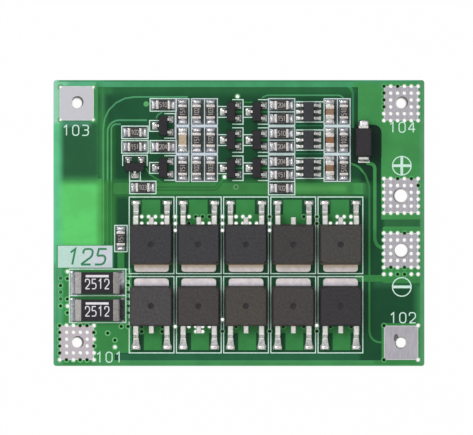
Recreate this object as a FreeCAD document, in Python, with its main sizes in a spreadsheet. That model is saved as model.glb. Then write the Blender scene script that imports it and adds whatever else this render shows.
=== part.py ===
"""Battery management board: ten power transistors, their control circuit and six wire terminals.

Millimetres. The board lies flat with its underside on z = 0 and its component side up (+Z).
+X runs along its length and the origin is the centre of the underside.
"""
import FreeCAD, Part
import os
import re

import Sketcher

Vector = FreeCAD.Vector

# Driving dimensions
SIZES = {
    # Laminate, terminals and vias
    "board_thickness": 1.2,
    "corner_radius": 0.4,
    "land_thickness": 0.07,
    "land_edge_margin": 0.91,
    "land_bank_gap": 2.96,
    "load_land_gap": 3.0,
    "via_pitch": 1.016,
    "via_diameter": 0.5,
    "tap_hole_diameter": 1.6,
    "load_hole_diameter": 2.0,
    # Power transistors
    "fet_length": 6.1,
    "fet_width": 6.6,
    "fet_height": 2.3,
    "fet_draft": 7.0,
    "fet_gap": 0.4,
    "fet_dimple_diameter": 1.0,
    "fet_dimple_depth": 0.1,
    "fet_tab_width": 5.2,
    "fet_tab_reach": 1.1,
    "fet_tab_corner": 0.5,
    "fet_tab_margin": 0.45,
    "fet_paddle_cover": 1.2,
    "fet_frame_thickness": 0.5,
    "fet_lead_spacing": 4.6,
    "fet_lead_width": 0.76,
    "fet_lead_height": 0.8,
    "fet_lead_reach": 3.0,
    "fet_lead_foot": 1.5,
    "fet_lead_run": 0.5,
    "fet_lead_anchor": 0.8,
    "fet_lead_margin": 1.05,
    "fet_stub_reach": 1.0,
    # Chip resistors and capacitors
    "chip_length": 2.0,
    "chip_width": 1.25,
    "resistor_height": 0.5,
    "capacitor_height": 0.9,
    "chip_end_length": 0.4,
    "chip_end_wall": 0.05,
    # Three-lead and six-lead small cases
    "sot_length": 2.9,
    "sot_width": 1.3,
    "sot_ic_width": 1.6,
    "sot_height": 1.1,
    "sot_standoff": 0.05,
    "sot_draft": 7.0,
    "sot_lead_reach": 0.55,
    "sot_lead_foot": 0.32,
    "sot_lead_run": 0.08,
    "sot_lead_height": 0.47,
    "sot_lead_thickness": 0.13,
    "sot_lead_width": 0.4,
    "sot_lead_spacing": 0.95,
    "sot_lead_anchor": 0.25,
    # Diode
    "diode_length": 4.3,
    "diode_width": 2.6,
    "diode_height": 2.1,
    "diode_standoff": 0.2,
    "diode_draft": 8.0,
    "diode_lead_width": 1.4,
    "diode_lead_reach": 0.4,
    "diode_lead_foot": 1.2,
    "diode_lead_height": 1.02,
    "diode_lead_thickness": 0.16,
    "diode_lead_anchor": 0.3,
    "diode_drop": 0.42,
    # Current shunts
    "shunt_length": 6.4,
    "shunt_width": 3.2,
    "shunt_height": 0.75,
    "shunt_end_length": 0.85,
    "shunt_end_wall": 0.1,
    # Gaps that set the parts' places
    "bottom_strip": 1.78,
    "top_strip": 3.72,
    "bank_top_gap": 0.56,
    "shunt_edge_gap": 3.32,
    "shunt_bank_gap": 1.33,
    "shunt_land_gap": 0.69,
    "shunt_gap": 0.84,
    "gate_resistor_gap": 0.42,
    "gate_resistor_rise": 5.42,
    "channel_gap": 2.18,
    "pair_gap": 0.72,
    "cluster_edge_gap": 11.08,
    "cluster_column_gap": 2.2,
    "cluster_row_gap": 1.04,
    "cluster_pair_gap": 0.9,
    "cluster_rise": 1.04,
    "cluster_foot_gap": 1.18,
    "cluster_foot_shift": 1.17,
    "cluster_channel_gap": 1.25,
    "column_gap": 0.83,
    "column_transistor_gap": 1.2,
    "transistor_gap": 1.41,
    "transistor_pair_gap": 1.48,
    "pair_ic_gap": 1.64,
    "ic_capacitor_gap": 1.17,
    "diode_gap": 0.94,
}

# Places and sizes worked out from the driving dimensions
DERIVED = {
    "land_side": "5 * via_pitch",
    "tap_inset": "land_edge_margin + land_side / 2",
    "fet_parting": "fet_lead_height + fet_frame_thickness",
    "sot_parting": "sot_lead_height + sot_lead_thickness",
    "diode_parting": "diode_lead_height + diode_lead_thickness",
    "fet_pitch": "fet_width + fet_gap",
    "fet_row_depth": "fet_tab_margin + fet_tab_reach + fet_length + fet_lead_reach + fet_lead_margin",
    "left_zone": "shunt_edge_gap + shunt_length + shunt_bank_gap",
    "right_zone": "land_edge_margin + land_side + land_bank_gap",
    "pair_pitch": "chip_width + pair_gap",
    "channel_pitch": "chip_length + channel_gap",
    "control_zone": "top_strip + chip_length / 2 + 2 * channel_pitch"
                    " + 1.5 * pair_pitch + chip_width / 2 + bank_top_gap",
    "board_length": "left_zone + 5 * fet_pitch + right_zone",
    "board_width": "bottom_strip + 2 * fet_row_depth + control_zone",
    "tap_x": "board_length / 2 - tap_inset",
    "tap_y": "board_width / 2 - tap_inset",
    "load_y": "(land_side + load_land_gap) / 2",
    "bank_left": "left_zone - board_length / 2",
    "bank_split": "bottom_strip + fet_row_depth - board_width / 2",
    "fet_offset": "fet_tab_margin + fet_tab_reach + fet_length / 2",
    "channel_top": "board_width / 2 - top_strip - chip_length / 2",
    "chip_row_step": "chip_width / 2 + sot_length / 2 + cluster_row_gap",
    "sot_span": "sot_width + 2 * sot_lead_reach",
    "ic_span": "sot_ic_width + 2 * sot_lead_reach",
    "foot_step": "chip_width / 2 + sot_span / 2 + cluster_foot_gap",
    "cluster_left_x": "cluster_edge_gap + chip_length / 2 - board_length / 2",
    "cluster_right_x": "cluster_left_x + chip_length + cluster_column_gap",
    "cluster_top_y": "channel_top + cluster_rise",
    "cluster_low_y": "cluster_top_y - 2 * chip_row_step",
    "column_1_x": "cluster_right_x + (chip_length + chip_width) / 2 + cluster_channel_gap",
    "column_2_x": "column_1_x + chip_width + column_gap",
    "column_3_x": "column_2_x + chip_width + column_gap",
    "transistor_1_x": "column_3_x + (chip_width + sot_span) / 2 + column_transistor_gap",
    "transistor_2_x": "transistor_1_x + sot_span + transistor_gap",
    "pair_x": "transistor_2_x + (sot_span + chip_length) / 2 + transistor_pair_gap",
    "ic_x": "pair_x + (chip_length + ic_span) / 2 + pair_ic_gap",
    "capacitor_x": "ic_x + (ic_span + chip_width) / 2 + ic_capacitor_gap",
    "column_4_x": "capacitor_x + chip_width + column_gap",
    "diode_x": "column_4_x + (chip_width + diode_width) / 2 + diode_gap",
    "shunt_x": "shunt_edge_gap + shunt_length / 2 - board_length / 2",
    "shunt_low_y": "land_edge_margin + land_side + shunt_land_gap + shunt_width / 2 - board_width / 2",
}

VIA_SIDES = 6
DIMPLE_SIDES = 8
GRID_VIAS = 6
FET_COLUMNS = 5
CHANNELS = 3
DRILL_MARGIN = 1.0
UPRIGHT = 0.9       # an edge whose direction has at least this share of Z stands upright
ON_LINE = 0.01      # an edge this near to a line in the plane lies on it

doc = FreeCAD.newDocument("battery_management_board")
sheet = doc.addObject("Spreadsheet::Sheet", "Sizes")
for row, (alias, value) in enumerate(SIZES.items(), start=1):
    sheet.set(f"A{row}", alias)
    sheet.set(f"B{row}", str(value))
    sheet.setAlias(f"B{row}", alias)
doc.recompute()


def formula(text):
    """The text with each named size as a cell of the sheet and each derived value written out."""
    def word(match):
        name = match.group(0)
        if name in SIZES:
            return "Sizes." + name
        if name in DERIVED:
            return "(" + formula(DERIVED[name]) + ")"
        return name
    return re.sub(r"[a-z][a-z_0-9]*", word, text)


def bind(item, **properties):
    """Binds properties to formulas; Base_x stands for Placement.Base.x."""
    for name, text in properties.items():
        path = name.replace("Base_", "Placement.Base.")
        item.setExpression(path, formula(text))
    return item


def add(kind, name, **properties):
    item = doc.addObject(kind, name)
    item.Label = name
    return bind(item, **properties)


def block(name, length, width, height, x="0", y="0", z="0"):
    """A box centred on x and y, standing on z."""
    return add("Part::Box", name, Length=length, Width=width, Height=height,
               Base_x=f"{x} - ({length}) / 2", Base_y=f"{y} - ({width}) / 2", Base_z=z)


def compound(name, items):
    group = add("Part::Compound", name)
    group.Links = items
    return group


def cut(name, base, tool):
    result = add("Part::Cut", name)
    result.Base = base
    result.Tool = tool
    return result


def place(name, item, x, y, angle=0.0, z="0"):
    """A copy of an item, turned about Z and set down at x, y, z."""
    copy = compound(name, [item])
    copy.Placement = FreeCAD.Placement(Vector(), FreeCAD.Rotation(Vector(0, 0, 1), angle))
    return bind(copy, Base_x=x, Base_y=y, Base_z=z)


# Sketches and PartDesign bodies

def sketch_on(body, role, name, lift="0"):
    """A sketch on one of the body's own planes, lifted off it along its normal."""
    plane = [item for item in body.Origin.OriginFeatures if item.Role == role][0]
    sketch = body.newObject("Sketcher::SketchObject", name)
    sketch.AttachmentSupport = (plane, [""])
    sketch.MapMode = "FlatFace"
    sketch.setExpression("AttachmentOffset.Base.z", formula(lift))
    return sketch


def draw_outline(sketch, corners):
    """A closed run of lines whose corners are held at formulas of x and y."""
    count = len(corners)
    values = [(doc_value(x), doc_value(y)) for x, y in corners]
    for index in range(count):
        start = Vector(*values[index], 0)
        end = Vector(*values[(index + 1) % count], 0)
        sketch.addGeometry(Part.LineSegment(start, end), False)
    for index in range(count):
        sketch.addConstraint(Sketcher.Constraint("Coincident", index, 2, (index + 1) % count, 1))
    for index, (x, y) in enumerate(corners):
        for kind, text, value in (("DistanceX", x, values[index][0]), ("DistanceY", y, values[index][1])):
            number = sketch.addConstraint(Sketcher.Constraint(kind, -1, 1, index, 1, value))
            sketch.setExpression(f"Constraints[{number}]", formula(text))


def doc_value(text):
    """What a formula comes to with the sheet's present values."""
    return float(sheet.evalExpression(formula(text)))


def rectangle(length, width):
    half_x, half_y = f"({length}) / 2", f"({width}) / 2"
    return [(f"-{half_x}", f"-{half_y}"), (half_x, f"-{half_y}"), (half_x, half_y), (f"-{half_x}", half_y)]


def pad(body, sketch, name, length, symmetric=False):
    feature = body.newObject("PartDesign::Pad", name)
    feature.Profile = (sketch, [""])
    if symmetric:
        feature.SideType = "Symmetric"
    bind(feature, Length=length)
    return feature


def drafted_case(name, length, width, height, standoff, parting, draft):
    """A moulded case, widest at its parting line and drafted above and below it."""
    body = add("PartDesign::Body", name)
    outline = sketch_on(body, "XY_Plane", name + "_outline", parting)
    draw_outline(outline, rectangle(width, length))
    mould = pad(body, outline, name + "_mould", f"{height} - {parting}")
    mould.SideType = "Two sides"
    bind(mould, Length2=f"{parting} - {standoff}", TaperAngle=f"-{draft}", TaperAngle2=f"-{draft}")
    return body


def strip_body(name, corners, width):
    """A bent strip: a profile in the YZ plane, given its width along X."""
    body = add("PartDesign::Body", name)
    profile = sketch_on(body, "YZ_Plane", name + "_profile")
    draw_outline(profile, corners)
    pad(body, profile, name + "_strip", width, symmetric=True)
    return body


def gull_wing(name, wall, reach, foot, run, height, thickness, anchor, width):
    """A lead that leaves a wall, bends down and ends in a foot; its inner end lies inside the wall."""
    mitre = f"{thickness} * (sqrt(({height})^2 + ({run})^2) - {run}) / ({height})"
    tip = f"{wall} + {reach}"
    heel = f"{tip} - {foot}"
    knee = f"{heel} - {run}"
    return strip_body(name, [
        (f"{wall} - {anchor}", height),
        (knee, height),
        (heel, "0"),
        (tip, "0"),
        (tip, thickness),
        (f"{heel} + {mitre}", thickness),
        (f"{knee} + {mitre}", f"{height} + {thickness}"),
        (f"{wall} - {anchor}", f"{height} + {thickness}"),
    ], width)


# Drills: the wire holes and the vias, which pass the lands and the laminate alike

def wire_hole(name, x, y, diameter):
    return add("Part::Cylinder", name, Radius=f"{diameter} / 2",
               Height=f"board_thickness + land_thickness + {2 * DRILL_MARGIN}",
               Base_x=x, Base_y=y, Base_z=f"-{DRILL_MARGIN}")


def polygon_drill(name, sides, diameter, height, x, y, z):
    """A small round drill drawn with a few flat sides."""
    drill = add("Part::Prism", name, Circumradius=f"{diameter} / 2", Height=height)
    drill.Polygon = sides
    return bind(drill, Base_x=x, Base_y=y, Base_z=z)


def via(name, x, y):
    return polygon_drill(name, VIA_SIDES, "via_diameter",
                         f"board_thickness + land_thickness + {2 * DRILL_MARGIN}", x, y, f"-{DRILL_MARGIN}")


def via_places(pattern):
    """Grid steps from a terminal's centre: all round its hole, or its land's four corners only."""
    steps = [number - (GRID_VIAS - 1) / 2 for number in range(GRID_VIAS)]
    if pattern == "corners":
        steps = [steps[0], steps[-1]]
    return [(i, j) for i in steps for j in steps if abs(i) > 1 or abs(j) > 1]


# Each terminal's place, wire hole and vias
TERMINALS = {
    "tap_0": ("-tap_x", "-tap_y", "tap_hole_diameter", "grid"),
    "tap_1": ("tap_x", "-tap_y", "tap_hole_diameter", "corners"),
    "tap_2": ("-tap_x", "tap_y", "tap_hole_diameter", "corners"),
    "tap_3": ("tap_x", "tap_y", "tap_hole_diameter", "grid"),
    "load_plus": ("tap_x", "load_y", "load_hole_diameter", "grid"),
    "load_minus": ("tap_x", "-load_y", "load_hole_diameter", "grid"),
}


def make_drills():
    drills = []
    for terminal, (x, y, diameter, pattern) in TERMINALS.items():
        drills.append(wire_hole(terminal + "_hole", x, y, diameter))
        for number, (i, j) in enumerate(via_places(pattern), start=1):
            drills.append(via(f"{terminal}_via_{number}", f"{x} + {i} * via_pitch", f"{y} + {j} * via_pitch"))
    return compound("drills", drills)


def make_board(drills):
    """The laminate with its corners eased, drilled through."""
    body = add("PartDesign::Body", "laminate")
    outline = sketch_on(body, "XY_Plane", "laminate_outline")
    draw_outline(outline, rectangle("board_length", "board_width"))
    slab = pad(body, outline, "laminate_slab", "board_thickness")
    doc.recompute()
    upright = [f"Edge{number}" for number, edge in enumerate(slab.Shape.Edges, start=1)
               if abs(edge.tangentAt(edge.FirstParameter).z) > UPRIGHT]
    corners = body.newObject("PartDesign::Fillet", "laminate_corners")
    corners.Base = (slab, upright)
    bind(corners, Radius="corner_radius")
    return cut("circuit_board", body, drills)


def make_lands(name, prefix, drills):
    """Bare tinned lands, whose outer vias lie on their edges."""
    plates = [block(terminal + "_land", "land_side", "land_side", "land_thickness", x, y, "board_thickness")
              for terminal, (x, y, _, _) in TERMINALS.items() if terminal.startswith(prefix)]
    return cut(name, compound(name + "_plates", plates), drills)


# Power transistor

def make_fet_tab():
    """The drain plate: a tab outside the case that runs on as a paddle under it."""
    body = add("PartDesign::Body", "fet_tab")
    outline = sketch_on(body, "XY_Plane", "fet_tab_outline")
    half = "fet_tab_width / 2"
    outer = "-fet_length / 2 - fet_tab_reach"
    inner = "fet_length / 2 - fet_paddle_cover"
    draw_outline(outline, [(f"-{half}", outer), (half, outer), (half, inner), (f"-{half}", inner)])
    plate = pad(body, outline, "fet_tab_plate", "fet_frame_thickness")
    doc.recompute()
    edge_y = doc_value(outer)
    outer_edges = [f"Edge{number}" for number, edge in enumerate(plate.Shape.Edges, start=1)
                   if abs(edge.tangentAt(edge.FirstParameter).z) > UPRIGHT
                   and abs(edge.CenterOfMass.y - edge_y) < ON_LINE]
    corners = body.newObject("PartDesign::Fillet", "fet_tab_corners")
    corners.Base = (plate, outer_edges)
    bind(corners, Radius="fet_tab_corner")
    return body


def make_fet():
    """Master shapes of the case and of its frame: the drain plate, the cut middle lead and two full leads."""
    lead = gull_wing("fet_lead", "fet_length / 2", "fet_lead_reach", "fet_lead_foot", "fet_lead_run",
                     "fet_lead_height", "fet_frame_thickness", "fet_lead_anchor", "fet_lead_width")
    stub = block("fet_stub", "fet_lead_width", "fet_stub_reach + fet_lead_anchor", "fet_frame_thickness",
                 y="(fet_length + fet_stub_reach - fet_lead_anchor) / 2", z="fet_lead_height")
    lead_blanks = compound("fet_lead_blanks", [
        stub,
        place("fet_lead_left", lead, "-fet_lead_spacing / 2", "0"),
        place("fet_lead_right", lead, "fet_lead_spacing / 2", "0"),
    ])
    blank = drafted_case("fet_blank", "fet_length", "fet_width", "fet_height", "0", "fet_parting", "fet_draft")
    drain = make_fet_tab()
    dimple = polygon_drill("fet_dimple", DIMPLE_SIDES, "fet_dimple_diameter", "fet_dimple_depth", "0", "0",
                           "fet_height - fet_dimple_depth")
    leads = cut("fet_leads", lead_blanks, blank)
    case = cut("fet_case", blank, compound("fet_case_tools", [drain, dimple]))
    return case, compound("fet_frame", [drain, leads])


# Chips: a ceramic bar with a metal wrap round each end

def make_chip(name, length, width, height, end_length, wall, side_wall="0"):
    """Master shapes of a chip's bar and of its two ends, which leave the bar's sides bare or cover them."""
    bar = block(name + "_bar", f"{length} - 2 * {wall}", f"{width} - 2 * {side_wall}",
                f"{height} - 2 * {wall}", z=wall)
    shift = f"({length} - {end_length}) / 2"
    blanks = compound(name + "_end_blanks", [
        block(name + "_end_left", end_length, width, height, x=f"-{shift}"),
        block(name + "_end_right", end_length, width, height, x=shift),
    ])
    return bar, cut(name + "_end_pair", blanks, bar)


# Small moulded cases with gull-wing leads

def make_sot(name, width, lead_places):
    """Master shapes of a small case and its leads; each lead is given by its side and its step along the case."""
    case = drafted_case(name + "_mould", "sot_length", width, "sot_height", "sot_standoff",
                        "sot_parting", "sot_draft")
    lead = gull_wing(name + "_lead", f"{width} / 2", "sot_lead_reach", "sot_lead_foot", "sot_lead_run",
                     "sot_lead_height", "sot_lead_thickness", "sot_lead_anchor", "sot_lead_width")
    leads = [place(f"{name}_lead_{number}", lead, "0", f"{step} * sot_lead_spacing", angle)
             for number, (angle, step) in enumerate(lead_places, start=1)]
    return case, cut(name + "_leads", compound(name + "_lead_blanks", leads), case)


def make_diode():
    """A moulded case on two broad leads that turn down and in under it."""
    case = drafted_case("diode_mould", "diode_length", "diode_width", "diode_height", "diode_standoff",
                        "diode_parting", "diode_draft")
    outer = "diode_length / 2 + diode_lead_reach"
    inner = "diode_length / 2 - diode_lead_anchor"
    lead = strip_body("diode_lead", [
        (inner, "diode_lead_height"),
        (f"{outer} - diode_lead_thickness", "diode_lead_height"),
        (f"{outer} - diode_lead_thickness", "diode_lead_thickness"),
        (f"{outer} - diode_lead_foot", "diode_lead_thickness"),
        (f"{outer} - diode_lead_foot", "0"),
        (outer, "0"),
        (outer, "diode_lead_height + diode_lead_thickness"),
        (inner, "diode_lead_height + diode_lead_thickness"),
    ], "diode_lead_width")
    blanks = compound("diode_lead_blanks", [
        place("diode_lead_top", lead, "0", "0"),
        place("diode_lead_bottom", lead, "0", "0", 180.0),
    ])
    return case, cut("diode_lead_pair", blanks, case)


# Turns of a chip or a small case on the board
ALONG_X, ALONG_Y = 0.0, 90.0
TOWARD_LEFT, TOWARD_DOWN = 0.0, 90.0
BESIDE_RIGHT, BESIDE_LEFT = -90.0, 90.0


def make_groups():
    """The lists of placed parts: for each group of nodes, its kinds of part with their places."""
    groups = {}
    for channel in range(CHANNELS):
        y = f"channel_top - {channel} * channel_pitch"
        resistors = [("column_1_x", y, ALONG_Y), ("column_2_x", y, ALONG_Y), ("column_3_x", y, ALONG_Y),
                     ("column_4_x", y, ALONG_Y),
                     ("pair_x", f"{y} + pair_pitch / 2", ALONG_X), ("pair_x", f"{y} - pair_pitch / 2", ALONG_X)]
        capacitors = [("capacitor_x", y, ALONG_Y)]
        if channel == 1:
            capacitors.append(resistors.pop(0))
        if channel == CHANNELS - 1:
            resistors.append(("pair_x", f"{y} - 1.5 * pair_pitch", ALONG_X))
        groups[f"channel_{channel + 1}"] = {
            "resistor": resistors,
            "capacitor": capacitors,
            "transistor": [("transistor_1_x", y, TOWARD_LEFT), ("transistor_2_x", y, TOWARD_LEFT)],
            "ic": [("ic_x", y, TOWARD_LEFT)],
        }
    groups["control"] = {
        "resistor": [
            ("cluster_right_x", "cluster_top_y", ALONG_X),
            ("cluster_right_x", "cluster_low_y", ALONG_X),
            ("cluster_left_x", "cluster_low_y", ALONG_X),
            ("cluster_left_x", "cluster_low_y + chip_width + cluster_pair_gap", ALONG_X),
            ("cluster_left_x + cluster_foot_shift", "cluster_low_y - 2 * foot_step", ALONG_X),
        ],
        "transistor": [
            ("cluster_right_x", "cluster_top_y - chip_row_step", TOWARD_LEFT),
            ("cluster_right_x", "cluster_low_y - chip_row_step", TOWARD_LEFT),
            ("cluster_left_x", "cluster_low_y - foot_step", TOWARD_DOWN),
        ],
    }
    return groups


# The pieces that make up a part of each kind: the end of the node's name and the master shape
def make_masters():
    resistor = make_chip("resistor", "chip_length", "chip_width", "resistor_height",
                         "chip_end_length", "chip_end_wall")
    capacitor = make_chip("capacitor", "chip_length", "chip_width", "capacitor_height",
                          "chip_end_length", "chip_end_wall", side_wall="chip_end_wall")
    transistor = make_sot("transistor", "sot_width",
                          [(BESIDE_LEFT, 0), (BESIDE_RIGHT, 1), (BESIDE_RIGHT, -1)])
    ic = make_sot("ic", "sot_ic_width", [(side, step) for side in (BESIDE_LEFT, BESIDE_RIGHT)
                                         for step in (1, 0, -1)])
    return {
        "resistor": (("resistor_bodies", resistor[0]), ("resistor_ends", resistor[1])),
        "capacitor": (("capacitor_bodies", capacitor[0]), ("capacitor_ends", capacitor[1])),
        "transistor": (("transistor_cases", transistor[0]), ("transistor_leads", transistor[1])),
        "ic": (("ic_case", ic[0]), ("ic_leads", ic[1])),
    }


def set_on_board(name, item, x, y, angle=0.0):
    return place(name, item, x, y, angle, z="board_thickness")


def make_nodes():
    """Every sub-part of the board, each with its own Label."""
    drills = make_drills()
    nodes = [make_board(drills), make_lands("tap_lands", "tap", drills), make_lands("load_lands", "load", drills)]

    fet_case, fet_frame = make_fet()
    for row, side, angle in (("upper", 1, 0.0), ("lower", -1, 180.0)):
        for column in range(FET_COLUMNS):
            x = f"bank_left + {column + 0.5} * fet_pitch"
            y = f"bank_split + {side} * fet_offset"
            number = column + 1
            nodes.append(set_on_board(f"mosfet_{row}_case_{number}", fet_case, x, y, angle))
            nodes.append(set_on_board(f"mosfet_{row}_leadframe_{number}", fet_frame, x, y, angle))

    shunt_bar, shunt_ends = make_chip("shunt", "shunt_length", "shunt_width", "shunt_height",
                                      "shunt_end_length", "shunt_end_wall")
    for number in (1, 2):
        y = f"shunt_low_y + {2 - number} * (shunt_width + shunt_gap)"
        nodes.append(set_on_board(f"shunt_body_{number}", shunt_bar, "shunt_x", y))
        nodes.append(set_on_board(f"shunt_terminals_{number}", shunt_ends, "shunt_x", y))

    diode_case, diode_leads = make_diode()
    diode_y = "channel_top - channel_pitch - diode_drop"
    nodes.append(set_on_board("diode_case", diode_case, "diode_x", diode_y))
    nodes.append(set_on_board("diode_leads", diode_leads, "diode_x", diode_y))

    masters = make_masters()
    gate_x = "bank_left - gate_resistor_gap - chip_width / 2"
    gate_y = "bank_split + gate_resistor_rise"
    for (_, master), name in zip(masters["resistor"], ("gate_resistor_body", "gate_resistor_ends")):
        nodes.append(set_on_board(name, master, gate_x, gate_y, ALONG_Y))
    for group, kinds in make_groups().items():
        for kind, places in kinds.items():
            for suffix, master in masters[kind]:
                copies = [set_on_board(f"{group}_{suffix}_{number}", master, x, y, angle)
                          for number, (x, y, angle) in enumerate(places, start=1)]
                nodes.append(compound(f"{group}_{suffix}", copies))
    return nodes


def check(nodes):
    """Stops before anything is written if an object failed or a piece isn't a sound solid."""
    failed = [item.Name for item in doc.Objects if "Invalid" in item.State or "Error" in item.State]
    if failed:
        raise RuntimeError("failed objects: " + ", ".join(failed))
    for node in nodes:
        if node.Shape.isNull() or not node.Shape.isValid() or not node.Shape.Solids:
            raise RuntimeError("unsound shape: " + node.Label)


def write(nodes):
    os.makedirs("parts", exist_ok=True)
    for node in nodes:
        node.Shape.exportStep(os.path.join("parts", node.Label + ".step"))
        box = node.Shape.BoundBox
        print(f"{node.Label:34s} {len(node.Shape.Solids):3d} solids  {node.Shape.Volume:9.3f} mm3 "
              f" z {box.ZMin:6.3f} to {box.ZMax:6.3f}")


nodes = make_nodes()
doc.recompute()
check(nodes)
write(nodes)
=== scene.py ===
import math

import bmesh
import bpy
from mathutils import Matrix, Vector
from mathutils.geometry import delaunay_2d_cdt


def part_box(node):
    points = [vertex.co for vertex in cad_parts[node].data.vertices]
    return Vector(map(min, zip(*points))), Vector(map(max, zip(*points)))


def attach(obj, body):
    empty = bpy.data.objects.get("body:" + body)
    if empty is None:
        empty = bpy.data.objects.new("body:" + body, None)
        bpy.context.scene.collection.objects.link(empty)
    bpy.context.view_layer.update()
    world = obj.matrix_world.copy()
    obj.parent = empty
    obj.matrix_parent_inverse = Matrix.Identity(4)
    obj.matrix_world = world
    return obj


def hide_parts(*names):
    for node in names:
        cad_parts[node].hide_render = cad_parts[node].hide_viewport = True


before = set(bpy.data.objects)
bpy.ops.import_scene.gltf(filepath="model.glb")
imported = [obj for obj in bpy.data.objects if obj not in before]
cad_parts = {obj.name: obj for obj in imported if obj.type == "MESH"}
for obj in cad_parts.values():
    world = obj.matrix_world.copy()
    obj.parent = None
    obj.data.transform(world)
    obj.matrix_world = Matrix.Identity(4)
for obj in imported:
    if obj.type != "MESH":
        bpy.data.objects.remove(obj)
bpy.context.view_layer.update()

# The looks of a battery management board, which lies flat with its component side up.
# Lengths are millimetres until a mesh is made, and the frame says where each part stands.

MM = 0.001

# Heights of the board's layers
BOARD_LOW, BOARD_HIGH = (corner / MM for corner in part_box("circuit_board"))
BOARD_TOP = BOARD_HIGH.z
LAND_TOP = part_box("tap_lands")[1].z / MM
COPPER_RISE = 0.035
LAYER_STEP = 0.005
BARE_TOP = BOARD_TOP - COPPER_RISE
CORE_TOP = BARE_TOP - LAYER_STEP
# Top of the darker lacquer round the small parts, which is painted shade
SHADE_TOP = BOARD_TOP - 0.01
INK_TOP = BOARD_TOP + 0.018
BOARD_CORNER = 0.4

# Vias and wire holes: radii, and the sides that each is drawn with
VIA_RADIUS = 0.27
FREE_RADIUS = 0.25
CLOSED_RADIUS = 0.21
CORNER_RADIUS = 0.2
CORNER_INSET = 0.12
BARREL_WALL = 0.03
VIA_RING = 0.43
VIA_SIDES = 16
GRID_VIAS = 6
TAP_HOLE = 0.8
LOAD_HOLE = 1.0
HOLE_COAT = 0.09
HOLE_SIDES = 40
PLUG_SIDES = 12
PLUG_LOW, PLUG_TOP = 0.02, BOARD_TOP - 0.12

# White print
INK_WIDTH = 0.15
SIGN_WIDTH = INK_WIDTH * 1.1
FRAME_REACH = 0.93
FRAME_LENGTH = 1.95
PAIR_REACH = 0.985

# Chips
CHIP_LENGTH = 2.0
CHIP_WIDTH = 1.25
END_WALL = 0.05


# Flat outlines

def disc(x, y, radius, sides=20):
    turns = [math.tau * i / sides for i in range(sides)]
    return [(x + radius * math.cos(turn), y + radius * math.sin(turn)) for turn in turns]


def rounded(points, radius, closed=False):
    """A run of straight lines with each corner turned into an arc, or a smaller one where it has no room."""
    points = [Vector(point) for point in points]
    result = []
    for index, corner in enumerate(points):
        if not closed and index in (0, len(points) - 1):
            result.append(tuple(corner))
            continue
        before = points[index - 1] - corner
        after = points[(index + 1) % len(points)] - corner
        half = before.angle(after) / 2
        reach = min(radius / math.tan(half), 0.499 * min(before.length, after.length))
        centre = corner + (before.normalized() + after.normalized()).normalized() * reach / math.cos(half)
        spoke = corner + before.normalized() * reach - centre
        turn = math.pi - 2 * half
        steps = max(2, math.ceil(turn / math.radians(20)))
        sign = 1 if before.x * after.y - before.y * after.x < 0 else -1
        for step in range(steps + 1):
            angle = sign * turn * step / steps
            cosine, sine = math.cos(angle), math.sin(angle)
            result.append((centre.x + spoke.x * cosine - spoke.y * sine,
                           centre.y + spoke.x * sine + spoke.y * cosine))
    return result


def rectangle(left, right, bottom, top, radius=0.0):
    corners = [(left, bottom), (right, bottom), (right, top), (left, top)]
    return rounded(corners, radius, closed=True) if radius else corners


def square(x, y, half):
    return rectangle(x - half, x + half, y - half, y + half)


# The outer corner of a widened line stands out by no more than 1 / LEAST_TURN
LEAST_TURN = 0.3


def beside(points, distance):
    """The points of a line moved sideways by a distance, to the left of its run."""
    points = [Vector(point) for point in points]
    runs = [(after - before).normalized() for before, after in zip(points, points[1:])]
    result = []
    for index, point in enumerate(points):
        near = runs[max(0, index - 1):index + 1]
        run = sum(near, Vector((0, 0))).normalized()
        stretch = 1 / max(LEAST_TURN, run.dot(near[0]))
        result.append((point.x - run.y * distance * stretch, point.y + run.x * distance * stretch))
    return result


def band(points, width):
    """The outline of a line that is given a width."""
    return beside(points, width / 2) + beside(points, -width / 2)[::-1]


def edges(loop):
    return list(zip(loop, loop[1:] + loop[:1]))


# Points closer than WELD are one, and heights that differ by less than SAME_HEIGHT are the same
WELD = 1e-5
SAME_HEIGHT = 1e-6


def carve(layers):
    """Splits overlapping outlines into triangles, each with the tag of the last outline that covers it."""
    points, outlines = [], []
    for _, outline in layers:
        start = len(points)
        area = sum(a[0] * b[1] - b[0] * a[1] for a, b in edges(outline))
        points += [Vector(point) for point in (outline if area > 0 else outline[::-1])]
        outlines.append(list(range(start, len(points))))
    spots, _, triangles, _, _, owners = delaunay_2d_cdt(points, [], outlines, 0, WELD)
    tagged = [(triangle, layers[max(owner)][0]) for triangle, owner in zip(triangles, owners) if owner]
    return spots, [(triangle, tag) for triangle, tag in tagged if tag is not None]


# Solid shapes

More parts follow.
